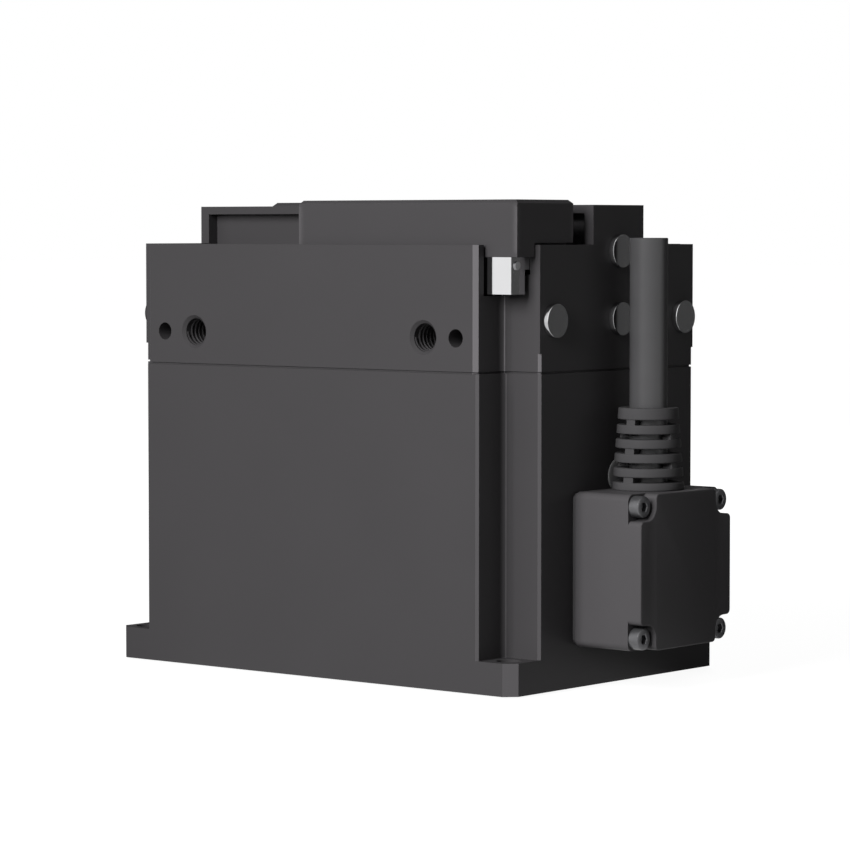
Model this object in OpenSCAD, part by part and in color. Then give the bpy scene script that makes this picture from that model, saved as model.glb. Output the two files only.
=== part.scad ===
// Electric two finger gripper: two jaws slide apart in parallel, each on a rack driven by one pinion.
// Millimetres. Origin: centre of the mounting face. +X along the wide face, +Y into the depth, +Z to the jaws.
// Shown fully open. The front jaw closes towards -X and the rear jaw towards +X.

/* [Body] */
// Width of the body along the jaws' travel
body_w = 95; // [90:0.5:100]
// Depth of the body
body_d = 61.6; // [58:0.1:66]
// Thickness of the mounting flange
flange_t = 5.8; // [4:0.1:8]
// Chamfer on the flange's upright corners
flange_chamfer = 2; // [0.5:0.1:3]
// Height of the joint between the two housings
seam_z = 55.9; // [54:0.1:60]
// Corner relief, along X
relief_x = 7.6; // [6:0.05:9]
// Corner relief, along Y
relief_y = 7.9; // [6:0.1:9]
// Fillet in the inner corner of a relief
relief_r = 1.5; // [0.5:0.1:2.5]
// Broken edge on the upright corners
edge_break = 0.45; // [0.1:0.05:0.6]
// Depth of the shadow line at the joint
seam_inset = 0.25; // [0.1:0.05:0.5]
// Height of the shadow line at the joint
seam_h = 0.35; // [0.2:0.05:0.6]

/* [Lower housing] */
// Wall of the lower housing
shell_wall = 3.2; // [2.5:0.1:4]
// Thickness of the top plate that carries the drive
top_plate = 6; // [5.6:0.1:8]
// Base bolt spacing along X
base_bolt_x = 87.4; // [86:0.1:89]
// Base bolt spacing along Y
base_bolt_y = 53.5; // [52:0.1:55]
// Base bolt hole diameter
base_bolt_d = 4.3; // [4:0.1:4.6]
// Bottom opening along X
hatch_x = 66; // [50:1:68]
// Bottom opening along Y
hatch_y = 36; // [34:1:37]
// Ledge round the bottom opening
hatch_ledge = 5; // [4.6:0.1:5.4]
// Bottom cover thickness
cover_t = 2.4; // [2:0.1:3]
// Bottom cover sunk below the mounting face
cover_sunk = 0.3; // [0.2:0.1:0.6]

/* [Rail housing] */
// Top of the walls round the jaw ways
wall_top = 78.4; // [77.5:0.1:79]
// Front and rear wall thickness
side_wall = 2.15; // [2:0.05:2.5]
// End wall thickness
end_wall = 2.25; // [2:0.05:2.6]
// Upright chamfer on the ends of the front and rear walls
wall_chamfer = 0.75; // [0.4:0.05:1.2]
// Setback of the long walls' ends from the lower housing's corners
wall_setback = 0.35; // [0:0.05:0.6]
// Floor of the rail housing
floor_t = 3.6; // [3:0.1:4]
// Ledge under the fixed guide rail
ledge_z = 69.5; // [69:0.1:70]
// Top of the end blocks of the guide way
block_z = 73.2; // [72.5:0.1:73.5]
// Centre tower height above the mounting face
tower_top = 85.45; // [84:0.05:86]
// Centre tower half thickness
tower_half = 7.5; // [7.2:0.1:8]
// Half thickness of the tower's thin web
web_half = 5.1; // [4.5:0.1:5.5]
// Rim left at the tower's ends
tower_end_rim = 2; // [1.5:0.1:3]
// Rim left at the tower's top
tower_top_rim = 1.5; // [1:0.1:2.5]
// Bottom of the tower's side pockets
pocket_z = 77; // [76.5:0.1:78]

/* [Side mount holes] */
// Height of the side mount holes
side_hole_z = 62.1; // [61:0.1:63]
// Spacing of the threaded side holes
side_thread_x = 55.2; // [50:0.1:60]
// Diameter of the threaded side holes
side_thread_d = 5; // [4:0.1:6]
// Countersink diameter of the threaded side holes
side_sink_d = 6.2; // [5:0.1:7]
// Depth of the threaded side holes
side_thread_len = 7.6; // [5:0.1:7.8]
// Spacing of the side dowel holes
side_dowel_x = 70; // [66:0.1:74]
// Diameter of the side dowel holes
side_dowel_d = 3.2; // [3:0.1:4]
// Depth of the side dowel holes
side_dowel_len = 6; // [4:0.1:7]

/* [Jaws] */
// Jaw length along X
jaw_len = 50.4; // [44:0.1:51]
// Jaw width along Y
jaw_w = 16; // [14:0.1:17]
// Top of the jaws
jaw_top = 86.3; // [85:0.1:88]
// Underside of the jaws, on the slides
jaw_base = 76.3; // [75.8:0.1:76.8]
// Outer end of a jaw when fully open
jaw_end = 46.5; // [45:0.1:47]
// Gap between a jaw's face and the wall beside it
jaw_gap = 0.55; // [0.3:0.05:0.6]
// Chamfer on the jaws' top edges
jaw_chamfer = 0.65; // [0.3:0.05:1]
// Travel of each jaw
jaw_travel = 40; // [20:1:40]
// Finger screw spacing along the jaw
finger_bolt_x = 40; // [34:1:41]
// Finger screw hole diameter, tapped
finger_bolt_d = 4; // [3:0.5:5]
// Finger screw hole depth
finger_bolt_len = 8; // [6:0.5:8.5]
// Finger dowel hole spacing along the jaw
finger_dowel_x = 30; // [27:1:31]
// Finger dowel hole diameter
finger_dowel_d = 3; // [2:0.5:4]
// Finger dowel hole depth
finger_dowel_len = 4; // [3:0.5:6]

/* [Screws] */
// Housing and drive screw diameter
housing_screw_d = 3; // [3:0.5:3]
// Housing screw head diameter
housing_head_d = 5.5; // [5:0.1:6]
// Housing screw head height
housing_head_h = 3; // [2.5:0.1:3.5]
// Depth of the housing screws in their thread
housing_screw_grip = 6; // [4:0.5:7]
// Gap between a housing screw's head and the wall
housing_screw_gap = 0.85; // [0.4:0.05:1.5]
// Spacing of the side pairs of housing screws
housing_screw_x = 36; // [30:1:44]
// Guide rail screw diameter
rail_screw_d = 2.5; // [2:0.5:2.5]
// Guide rail screw pitch
rail_screw_pitch = 22; // [20:0.5:23]
// Spacing of the jaw screws
jaw_screw_pitch = 10; // [7:0.5:11]
// Jaw screw length
jaw_screw_len = 7; // [5:0.5:8]
// Rack screw diameter
rack_screw_d = 1.6; // [1.6:0.4:2]
// Rack screw pitch
rack_screw_pitch = 19.5; // [15:0.5:20]
// Circle of the drive screws
drive_screw_circle = 22; // [20:0.5:24]

/* [Guides] */
// Leg width of the jaw slide
leg_w = 3.9; // [3.5:0.1:4.2]
// Height of the slide below the jaw
slide_h = 6.5; // [6:0.1:6.6]
// Thickness of the slide's bridge
bridge_t = 2.2; // [2:0.1:2.4]
// Gap between a moving leg and the fixed rail
guide_gap = 0.9; // [0.7:0.05:1.2]
// Diameter of the crossed rollers
roller_d = 2.2; // [2:0.1:2.3]
// Rollers along each cage
roller_n = 7; // [4:1:7]
// Roller pitch
roller_pitch = 3.3; // [3:0.1:3.4]
// Closed end left on the grooves of a slide
groove_stop = 2.4; // [2:0.1:3]
// Length of the fixed guide rail
rail_len = 79; // [76:0.5:79]

/* [Drive] */
// Gear module
gear_module = 1; // [0.8:0.1:1]
// Pinion teeth
pinion_teeth = 16; // [14:1:20]
// Thinning of each tooth for backlash
backlash = 0.08; // [0.04:0.01:0.12]
// Height of the pinion's lower face
pinion_z = 60.2; // [60:0.1:61]
// Pinion face width
pinion_w = 9; // [7:0.1:9]
// Drive shaft diameter
shaft_d = 6; // [5:0.5:6]
// Drive bearing outer diameter
bearing_d = 13; // [12:0.5:13]
// Drive bearing width
bearing_w = 5; // [4:0.5:5]
// Gearhead diameter
gearhead_d = 32; // [28:1:34]
// Gearhead length
gearhead_l = 22; // [18:1:24]
// Motor diameter
motor_d = 30; // [26:1:32]
// Motor length
motor_l = 17; // [14:1:18]

/* [End plugs] */
// Plug head diameter
plug_d = 6; // [5:0.1:7]
// Plug head height
plug_h = 1.1; // [0.8:0.1:1.5]
// Plug stem diameter
plug_stem_d = 3.6; // [3:0.1:4]
// Height of the lower plug, flush beside the cable outlet
plug_low_h = 0.22; // [0.1:0.01:0.24]
// Plug spacing across the body
plug_y = 19.2; // [18:0.1:20]
// Height of the row of three plugs
plug_row_z = 65.15; // [64:0.05:67]
// Height of the tower plug
plug_top_z = 77.26; // [76:0.02:79]
// Height of the lower plug
plug_low_z = 37.1; // [36.6:0.1:39]

/* [Cable outlet] */
// Cable box reach along X
box_l = 15.1; // [14:0.1:16]
// Cable box width along Y
box_w = 27.2; // [26:0.1:28]
// Cable box height
box_h = 27.5; // [27:0.1:28]
// Cable box centre height
box_z = 21.15; // [20.5:0.05:22]
// Gasket thickness behind the cable box
gasket_t = 0.6; // [0.4:0.1:1]
// Screw spacing on the cable box, both ways
box_screw = 23.2; // [22:0.1:24]
// Strain relief diameter at the box
relief_d1 = 12.9; // [12:0.1:13]
// Strain relief diameter at its tip
relief_d2 = 10.7; // [9:0.1:11.5]
// Strain relief height
relief_h = 14.6; // [12:0.1:16]
// Height of each slot in the strain relief
relief_slot = 0.95; // [0.6:0.05:1.2]
// Pitch of the slots
relief_pitch = 2.55; // [2:0.05:2.7]
// Width of the bars left in the slots
relief_bar = 2.3; // [1.5:0.1:3]
// Cable diameter
cable_d = 6.8; // [6:0.1:7.5]
// Cable axis from the body's end face
cable_x = 6.7; // [6:0.1:8]
// Height of the cut cable end
cable_end_z = 79.6; // [70:0.1:90]

/* [Hidden] */
$fn = 48;
hw = body_w / 2;
hd = body_d / 2;
nx = hw - relief_x;
wall_nx = nx - wall_setback;
ny = hd - relief_y;
way_x = hw - end_wall;
wall_in = hd - side_wall;
jaw_out = wall_in - jaw_gap;
jaw_in = jaw_out - jaw_w;
jaw_x0 = jaw_end - jaw_len;
slide_x0 = jaw_x0 + 1.2;
slide_x1 = way_x - 0.05;
slide_z0 = jaw_base - slide_h;
leg_out = jaw_out + 0.05;
rail_cy = leg_out - leg_w - guide_gap - 3.25;
rail_w = 6.5;
leg_in = rail_cy - rail_w / 2 - guide_gap;
bridge_z = jaw_base - bridge_t;
rail_top = bridge_z - 0.3;
groove_z = (ledge_z + rail_top) / 2 + 0.15;
groove = (roller_d * sqrt(2) - guide_gap) / 2;
roller_x0 = slide_x0 + groove_stop + roller_d / 2 + 0.4;
way_in = leg_in - leg_w;
way_fixed = leg_in + guide_gap;
pitch_r = gear_module * pinion_teeth / 2;
rack_pitch = PI * gear_module;
rack_x0 = jaw_x0;
rack_x1 = way_x - 0.35;
rack_root = pitch_r + 1.25 * gear_module;
rack_tip = pitch_r - 0.9 * gear_module;
rack_z = pinion_z;
core_half = 6.6;
core_z = slide_z0 + 0.3;
cavity_r = pitch_r + 1.6 * gear_module;
floor_z = seam_z + floor_t;
plate_z = seam_z - top_plate;
motor_z = plate_z - gearhead_l - motor_l;
shaft_r = shaft_d / 2;
bearing_r = bearing_d / 2;
top_bearing_z = core_z + 0.2;
low_bearing_z = seam_z - bearing_w;
run = 0.05;
box_x1 = hw + box_l;
screw_x = box_x1 - 2.8;
cable_cx = hw + cable_x;
box_top = box_z + box_h / 2;
hatch_z = cover_sunk + cover_t;
cover_bolt_x = hatch_x / 2 + hatch_ledge / 2;
cover_bolt_y = hatch_y / 2 + hatch_ledge / 2;
board_y = hd - shell_wall - 4.6;
board_screw_x = [-24, 24];
board_screw_z = [12, 43];
jaw_cx = (jaw_x0 + jaw_end) / 2;
jaw_screw_x = [for (i = [-1:1]) jaw_cx + i * jaw_screw_pitch];
rack_screw_x = [for (i = [-1:1]) (rack_x0 + rack_x1) / 2 + i * rack_screw_pitch];
rail_screw_x = [for (i = [-1.5:1.5]) i * rail_screw_pitch];
drive_screw = drive_screw_circle / 2 / sqrt(2);
relief_slots = [for (i = [0:4]) relief_h - 3 - (4 - i) * relief_pitch];
black = [0.09, 0.09, 0.1];
steel = [0.72, 0.73, 0.75];
dark = [0.2, 0.2, 0.22];

// A box given by its two corners
module span(a, b) {
    translate(a)
        cube(b - a);
}

// The same thing at four corners
module corners(x, y) {
    for (sx = [-1, 1])
        for (sy = [-1, 1])
            translate([sx * x, sy * y, 0])
                children();
}

// The second half of anything that repeats by half a turn
module half_turn() {
    rotate([0, 0, 180])
        children();
}

// Both halves of something that repeats by half a turn
module both() {
    children();
    half_turn()
        children();
}

// Body outline with the four corner reliefs, drawn in by an amount, for long sides that reach end
module outline(inset = 0, end = nx, corner = edge_break) {
    x = hw - inset;
    y = hd - inset;
    bx = end - inset;
    by = ny - inset;
    e = edge_break;
    c = corner;
    f = relief_r;
    difference() {
        polygon([[-bx + c, -y], [bx - c, -y], [bx, -y + c], [bx, -by - f], [bx + f, -by], [x - e, -by],
            [x, -by + e], [x, by - e], [x - e, by], [bx + f, by], [bx, by + f], [bx, y - c], [bx - c, y],
            [-bx + c, y], [-bx, y - c], [-bx, by + f], [-bx - f, by], [-x + e, by], [-x, by - e],
            [-x, -by + e], [-x + e, -by], [-bx - f, -by], [-bx, -by - f], [-bx, -y + c]]);
        for (sx = [-1, 1])
            for (sy = [-1, 1])
                translate([sx * (bx + f), sy * (by + f)])
                    circle(r = f);
    }
}

// Flange plate outline with chamfered corners
module flange_outline() {
    c = flange_chamfer;
    polygon([[-hw + c, -hd], [hw - c, -hd], [hw, -hd + c], [hw, hd - c], [hw - c, hd], [-hw + c, hd],
        [-hw, hd - c], [-hw, -hd + c]]);
}

// Inside of the lower housing
module cavity_outline() {
    w = shell_wall;
    union() {
        square([2 * (hw - w), 2 * (ny - w)], center = true);
        square([2 * (nx - w), 2 * (hd - w)], center = true);
    }
}

// Socket head screw, head up, its seat at the origin
module cap_screw(d, len, head_d, head_h) {
    difference() {
        union() {
            cylinder(d = head_d, h = head_h);
            translate([0, 0, -len])
                cylinder(d = d, h = len + 0.01);
        }
        translate([0, 0, head_h - d * 0.5])
            cylinder(d = d * 0.95, h = d, $fn = 6);
    }
}

// Flat head screw, its flat top at the origin, pointing down
module flat_screw(d, len, head_d) {
    difference() {
        union() {
            translate([0, 0, -len])
                cylinder(d = d, h = len);
            translate([0, 0, -(head_d - d) / 2])
                cylinder(d1 = d, d2 = head_d, h = (head_d - d) / 2);
        }
        translate([0, 0, -d * 0.4])
            cylinder(d = d * 0.62, h = d, $fn = 6);
    }
}

// Room for a flat head screw, with its own clearance
module flat_sink(d, len, head_d) {
    translate([0, 0, -len])
        cylinder(d = d, h = len + 1);
    translate([0, 0, -(head_d - d) / 2])
        cylinder(d1 = d, d2 = head_d + 0.02, h = (head_d - d) / 2 + 0.01);
}

function plug_spots(lower) = concat([[-plug_y, plug_row_z], [0, plug_row_z], [plug_y, plug_row_z],
    [0, plug_top_z]], lower ? [[0, plug_low_z]] : []);

// Puts things at the plug places of one end face, pointing out of it
module at_plugs(end, high, low) {
    for (p = plug_spots(end > 0))
        if ((p[1] > seam_z && high) || (p[1] < seam_z && low))
            translate([end * hw, p[0], p[1]])
                rotate([0, end * 90, 0])
                    children();
}

// Puts things at the housing screws
module at_housing_screws() {
    edge = shell_wall + housing_head_d / 2 + housing_screw_gap;
    corners(housing_screw_x / 2, hd - edge)
        children();
    for (s = [-1, 1])
        translate([s * (hw - edge), 0, 0])
            children();
}

// Puts things at the fixed rail screws
module at_rail_screws() {
    both()
        for (x = rail_screw_x)
            translate([x, -rail_cy, 0])
                children();
}

// Lower housing: flange, four sided body with corner reliefs, open below
module lower_housing() {
    color(black)
        difference() {
            union() {
                linear_extrude(flange_t)
                    flange_outline();
                translate([0, 0, flange_t - 0.01])
                    linear_extrude(seam_z - flange_t + 0.01)
                        outline();
            }
            translate([0, 0, flange_t])
                linear_extrude(plate_z - flange_t)
                    cavity_outline();
            span([-hatch_x / 2, -hatch_y / 2, -1], [hatch_x / 2, hatch_y / 2, flange_t + 1]);
            span([-hatch_x / 2 - hatch_ledge, -hatch_y / 2 - hatch_ledge, -1],
                [hatch_x / 2 + hatch_ledge, hatch_y / 2 + hatch_ledge, hatch_z]);
            corners(cover_bolt_x, cover_bolt_y)
                cylinder(d = 2.5, h = flange_t - 0.6);
            corners(base_bolt_x / 2, base_bolt_y / 2)
                translate([0, 0, -1])
                    cylinder(d = base_bolt_d, h = flange_t + 2);
            translate([0, 0, low_bearing_z])
                cylinder(r = bearing_r, h = top_plate);
            translate([0, 0, plate_z - 1])
                cylinder(r = shaft_r + 1.2, h = top_plate);
            corners(drive_screw, drive_screw) {
                translate([0, 0, plate_z - 1])
                    cylinder(d = housing_screw_d, h = top_plate + 2);
                translate([0, 0, seam_z - housing_head_h - 0.2])
                    cylinder(d = housing_head_d + 0.2, h = housing_head_h + 1);
            }
            at_housing_screws()
                translate([0, 0, plate_z - 1])
                    cylinder(d = housing_screw_d, h = top_plate + 2);
            for (x = board_screw_x)
                for (z = board_screw_z)
                    translate([x, hd - shell_wall - 0.01, z])
                        rotate([-90, 0, 0])
                            cylinder(d = 2, h = 2);
            at_plugs(1, false, true)
                translate([0, 0, -2.4])
                    cylinder(d = plug_stem_d, h = 3);
            translate([hw - shell_wall - 1, 0, box_z])
                rotate([0, 90, 0])
                    cylinder(d = cable_d + 2.2, h = shell_wall + 2);
            for (sy = [-1, 1])
                for (sz = [-1, 1])
                    translate([hw - 2.6, sy * box_screw / 2, box_z + sz * box_screw / 2])
                        rotate([0, 90, 0])
                            cylinder(d = 2, h = 4);
        }
}

// Bottom cover, sunk in the mounting face
module bottom_cover() {
    g = 0.15;
    color(black)
        difference() {
            span([-hatch_x / 2 - hatch_ledge + g, -hatch_y / 2 - hatch_ledge + g, cover_sunk],
                [hatch_x / 2 + hatch_ledge - g, hatch_y / 2 + hatch_ledge - g, hatch_z]);
            corners(cover_bolt_x, cover_bolt_y)
                translate([0, 0, cover_sunk])
                    mirror([0, 0, 1])
                        flat_sink(2.5, cover_t + 1, 4.4);
        }
}

// Four flat head screws of the bottom cover
module bottom_cover_screws() {
    color(dark)
        corners(cover_bolt_x, cover_bolt_y)
            translate([0, 0, cover_sunk])
                mirror([0, 0, 1])
                    flat_screw(2.5, 4.8, 4.4);
}

// Six screws that hold the rail housing down from inside
module housing_screws() {
    color(dark)
        at_housing_screws()
            translate([0, 0, plate_z])
                mirror([0, 0, 1])
                    cap_screw(housing_screw_d, top_plate + housing_screw_grip, housing_head_d, housing_head_h);
}

// Fillet where a long wall's end meets an end block, front right
module wall_fillet() {
    f = relief_r;
    lap = 0.5;
    translate([wall_nx, -ny - f, floor_z - 0.01])
        linear_extrude(ledge_z - floor_z + 0.01)
            difference() {
                polygon([[-lap, 0], [0, 0], [f, f], [f, f + lap], [-lap, f + lap]]);
                translate([f, 0])
                    circle(r = f);
            }
}

// One half of the rail housing's solid, front side
module way_side() {
    c = wall_chamfer;
    translate([0, 0, floor_z - 0.01])
        linear_extrude(wall_top - floor_z + 0.01)
            polygon([[-wall_nx + c, -hd], [wall_nx - c, -hd], [wall_nx, -hd + c], [wall_nx, -wall_in],
                [-wall_nx, -wall_in], [-wall_nx, -hd + c]]);
    span([-wall_nx, -wall_in - 0.01, floor_z - 0.01], [wall_nx, -way_fixed, ledge_z]);
    for (s = [0, 1])
        mirror([s, 0, 0]) {
            span([wall_nx - 0.01, -ny, floor_z - 0.01], [way_x + 0.01, -way_fixed, ledge_z]);
            span([rail_len / 2 + 0.2, -ny, ledge_z - 0.01], [way_x + 0.01, -way_fixed, block_z]);
            wall_fillet();
        }
}

// Rail housing: jaw ways, end walls and centre tower
module rail_housing() {
    color(black)
        difference() {
            union() {
                translate([0, 0, seam_z])
                    linear_extrude(seam_h + 0.01)
                        outline(seam_inset, wall_nx, wall_chamfer);
                translate([0, 0, seam_z + seam_h])
                    linear_extrude(floor_t - seam_h)
                        outline(0, wall_nx, wall_chamfer);
                both()
                    way_side();
                for (s = [0, 1])
                    mirror([s, 0, 0])
                        span([way_x, -ny, floor_z - 0.01], [hw, ny, wall_top]);
                span([-way_x - 0.01, -core_half, floor_z - 0.01], [way_x + 0.01, core_half, core_z]);
                span([-hw, -tower_half, core_z - 0.01], [hw, tower_half, tower_top]);
            }
            both()
                span([-hw + tower_end_rim, -tower_half - 1, pocket_z],
                    [hw - tower_end_rim, -web_half, tower_top - tower_top_rim]);
            translate([0, 0, seam_z - 1])
                cylinder(r = cavity_r, h = core_z - seam_z + 1);
            translate([0, 0, core_z - 0.01])
                cylinder(r = bearing_r, h = bearing_w + 0.21);
            translate([0, 0, core_z])
                cylinder(r = shaft_r + 1.2, h = bearing_w + 1.2);
            at_housing_screws()
                translate([0, 0, seam_z - 1])
                    cylinder(d = housing_screw_d, h = housing_screw_grip + 1.2);
            at_rail_screws() {
                translate([0, 0, seam_z - 1])
                    cylinder(d = rail_screw_d, h = ledge_z - seam_z + 2);
                translate([0, 0, seam_z - 1])
                    cylinder(d = rail_screw_d * 1.8 + 0.2, h = 4);
            }
            both()
                for (s = [-1, 1]) {
                    translate([s * side_thread_x / 2, -hd, side_hole_z])
                        rotate([90, 0, 0])
                            translate([0, 0, -side_thread_len]) {
                                cylinder(d = side_thread_d, h = side_thread_len + 1);
                                translate([0, 0, side_thread_len - (side_sink_d - side_thread_d) / 2])
                                    cylinder(d1 = side_thread_d, d2 = side_sink_d + 0.2,
                                        h = (side_sink_d - side_thread_d) / 2 + 0.1);
                            }
                    translate([s * side_dowel_x / 2, -hd, side_hole_z])
                        rotate([90, 0, 0])
                            translate([0, 0, -side_dowel_len])
                                cylinder(d = side_dowel_d, h = side_dowel_len + 1);
                }
            for (end = [-1, 1])
                at_plugs(end, true, false)
                    translate([0, 0, -3])
                        cylinder(d = plug_stem_d, h = 4);
        }
}

// A long V groove along X with its mouth at the origin plane, opening towards -Y
module groove_cut(x0, x1) {
    translate([x0, 0, 0])
        rotate([90, 0, 90])
            linear_extrude(x1 - x0)
                polygon([[-0.5, -groove - 0.5], [-0.5, groove + 0.5], [groove, 0]]);
}

// Fixed guide rail with a V groove down both sides
module fixed_rail() {
    difference() {
        span([-rail_len / 2, -rail_cy - rail_w / 2, ledge_z], [rail_len / 2, -rail_cy + rail_w / 2, rail_top]);
        translate([0, -rail_cy - rail_w / 2, groove_z])
            groove_cut(-rail_len / 2 - 1, rail_len / 2 + 1);
        translate([0, -rail_cy + rail_w / 2, groove_z])
            mirror([0, 1, 0])
                groove_cut(-rail_len / 2 - 1, rail_len / 2 + 1);
        for (x = rail_screw_x)
            translate([x, -rail_cy, ledge_z - 1])
                cylinder(d = rail_screw_d, h = 4.2);
    }
}

// Both fixed guide rails
module fixed_rails() {
    color(steel)
        both()
            fixed_rail();
}

// Screws up into the fixed guide rails
module fixed_rail_screws() {
    color(dark)
        at_rail_screws()
            translate([0, 0, seam_z + 3])
                mirror([0, 0, 1])
                    cap_screw(rail_screw_d, ledge_z - seam_z, rail_screw_d * 1.8, rail_screw_d);
}

// Jaw block with finger holes in its top
module jaw_block() {
    c = jaw_chamfer;
    y0 = -jaw_out;
    y1 = -jaw_in;
    difference() {
        intersection() {
            translate([jaw_x0, 0, 0])
                rotate([90, 0, 90])
                    linear_extrude(jaw_len)
                        polygon([[y0, jaw_base], [y0, jaw_top - c], [y0 + c, jaw_top], [y1 - c, jaw_top],
                            [y1, jaw_top - c], [y1, jaw_base]]);
            translate([0, 0, 0])
                rotate([90, 0, 0])
                    translate([0, 0, -50])
                        linear_extrude(100)
                            polygon([[jaw_x0, jaw_base - 1], [jaw_x0, jaw_top - c], [jaw_x0 + c, jaw_top],
                                [jaw_end - c, jaw_top], [jaw_end, jaw_top - c], [jaw_end, jaw_base - 1]]);
        }
        span([way_x - 0.35, -ny - 0.3, jaw_base - 1], [jaw_end + 1, y1 + 1, wall_top + 0.3]);
        for (s = [-1, 1]) {
            translate([jaw_cx + s * finger_bolt_x / 2, (y0 + y1) / 2, jaw_top - finger_bolt_len])
                cylinder(d = finger_bolt_d, h = finger_bolt_len + 1);
            translate([jaw_cx + s * finger_dowel_x / 2, (y0 + y1) / 2, jaw_top - finger_dowel_len])
                cylinder(d = finger_dowel_d, h = finger_dowel_len + 1);
        }
        for (x = jaw_screw_x)
            translate([x, -rail_cy, jaw_base - 1])
                cylinder(d = 3, h = jaw_screw_len - bridge_t + 1.2);
    }
}

// Steel slide: an upside down channel that straddles the fixed rail
module slide_block() {
    difference() {
        span([slide_x0, -leg_out, slide_z0], [slide_x1, -way_in, jaw_base]);
        span([slide_x0 - 1, -leg_out + leg_w, slide_z0 - 1], [slide_x1 + 1, -leg_in, bridge_z]);
        translate([0, -leg_out + leg_w, groove_z])
            mirror([0, 1, 0])
                groove_cut(slide_x0 + groove_stop, slide_x1 - groove_stop);
        translate([0, -leg_in, groove_z])
            groove_cut(slide_x0 + groove_stop, slide_x1 - groove_stop);
        for (x = jaw_screw_x)
            translate([x, -rail_cy, bridge_z])
                mirror([0, 0, 1])
                    flat_sink(3, bridge_t + 1, 5.6);
        for (x = rack_screw_x)
            translate([x, -way_in - 1.25, slide_z0 - 1])
                cylinder(d = rack_screw_d, h = 5);
        translate([slide_x1 - 1.6, -leg_out + 1.65, jaw_base - 1.5])
            rotate([0, 90, 0])
                cylinder(d = 1, h = 3);
    }
}

// Rack bar with teeth facing the pinion
module rack_bar() {
    k0 = ceil((rack_x0 + 1.3) / rack_pitch - 0.5);
    k1 = floor((rack_x1 - 1.3) / rack_pitch - 0.5);
    half = rack_pitch / 4 - backlash / 2;
    ta = tan(20);
    tip = half - (pitch_r - rack_tip) * ta;
    root = half + (rack_root - pitch_r) * ta;
    difference() {
        union() {
            span([rack_x0, -leg_in, rack_z], [rack_x1, -rack_root, slide_z0]);
            translate([0, 0, rack_z])
                linear_extrude(slide_z0 - 0.6 - rack_z)
                    for (k = [k0:k1])
                        translate([(k + 0.5) * rack_pitch, 0])
                            polygon([[-root, -rack_root - 0.05], [root, -rack_root - 0.05], [root, -rack_root],
                                [tip, -rack_tip], [-tip, -rack_tip], [-root, -rack_root]]);
        }
        for (x = rack_screw_x)
            translate([x, -way_in - 1.25, rack_z - 1]) {
                cylinder(d = rack_screw_d, h = slide_z0 - rack_z + 2);
                cylinder(d = rack_screw_d * 2, h = 6);
            }
    }
}

module front_jaw() {
    color(black)
        jaw_block();
}

module front_slide() {
    color(steel)
        slide_block();
}

module front_rack() {
    color(steel)
        rack_bar();
}

// Flat head screws from the slide up into the jaw
module jaw_screw_set() {
    for (x = jaw_screw_x)
        translate([x, -rail_cy, bridge_z])
            mirror([0, 0, 1])
                flat_screw(3, jaw_screw_len, 5.6);
}

module front_jaw_screws() {
    color(dark)
        jaw_screw_set();
}

// Small cap screws from the rack up into the slide
module rack_screw_set() {
    for (x = rack_screw_x)
        translate([x, -way_in - 1.25, rack_z + 5])
            mirror([0, 0, 1])
                cap_screw(rack_screw_d, slide_z0 - rack_z - 1.2, rack_screw_d * 1.9, rack_screw_d);
}

module front_rack_screws() {
    color(dark)
        rack_screw_set();
}

// End stop screw in the slide's outer leg
module stop_screw() {
    translate([slide_x1 - 1.5, -leg_out + 1.65, jaw_base - 1.5])
        rotate([0, 90, 0]) {
            cylinder(d = 1, h = 1.6);
            translate([0, 0, 1.5])
                cylinder(d = 1.5, h = 0.25);
        }
}

module front_slide_stop() {
    color(steel)
        stop_screw();
}

module rear_jaw() {
    color(black)
        half_turn()
            jaw_block();
}

module rear_slide() {
    color(steel)
        half_turn()
            slide_block();
}

module rear_rack() {
    color(steel)
        half_turn()
            rack_bar();
}

module rear_jaw_screws() {
    color(dark)
        half_turn()
            jaw_screw_set();
}

module rear_rack_screws() {
    color(dark)
        half_turn()
            rack_screw_set();
}

module rear_slide_stop() {
    color(steel)
        half_turn()
            stop_screw();
}

// Mid planes of the two roller rows of one guide
cage_y = [leg_out - leg_w - guide_gap / 2, leg_in + guide_gap / 2];

// Two cage strips with a window for every roller
module cage_pair() {
    t = 0.4;
    h = roller_d * 0.9;
    end = roller_d * 0.9;
    for (y = cage_y)
        difference() {
            span([roller_x0 - end, -y - t / 2, groove_z - h],
                [roller_x0 + roller_pitch * (roller_n - 1) + end, -y + t / 2, groove_z + h]);
            for (i = [0:roller_n - 1])
                translate([roller_x0 + i * roller_pitch, -y, groove_z])
                    cube([roller_d + 0.06, 2, roller_d * 1.48], center = true);
        }
}

// Crossed rollers, every second one turned the other way
module roller_pair() {
    for (y = cage_y)
        for (i = [0:roller_n - 1])
            translate([roller_x0 + i * roller_pitch, -y, groove_z])
                rotate([i % 2 == 0 ? 45 : -45, 0, 0])
                    cylinder(d = roller_d - 0.06, h = roller_d - 0.1, center = true);
}

module front_roller_cages() {
    color([0.75, 0.6, 0.3])
        cage_pair();
}

module front_rollers() {
    color(steel)
        roller_pair();
}

module rear_roller_cages() {
    color([0.75, 0.6, 0.3])
        half_turn()
            cage_pair();
}

module rear_rollers() {
    color(steel)
        half_turn()
            roller_pair();
}

function inv(a) = tan(a) - a * PI / 180;
function flank(rb, r, thick) = let (a = acos(min(1, rb / r))) thick - inv(a) * 180 / PI;

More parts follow.
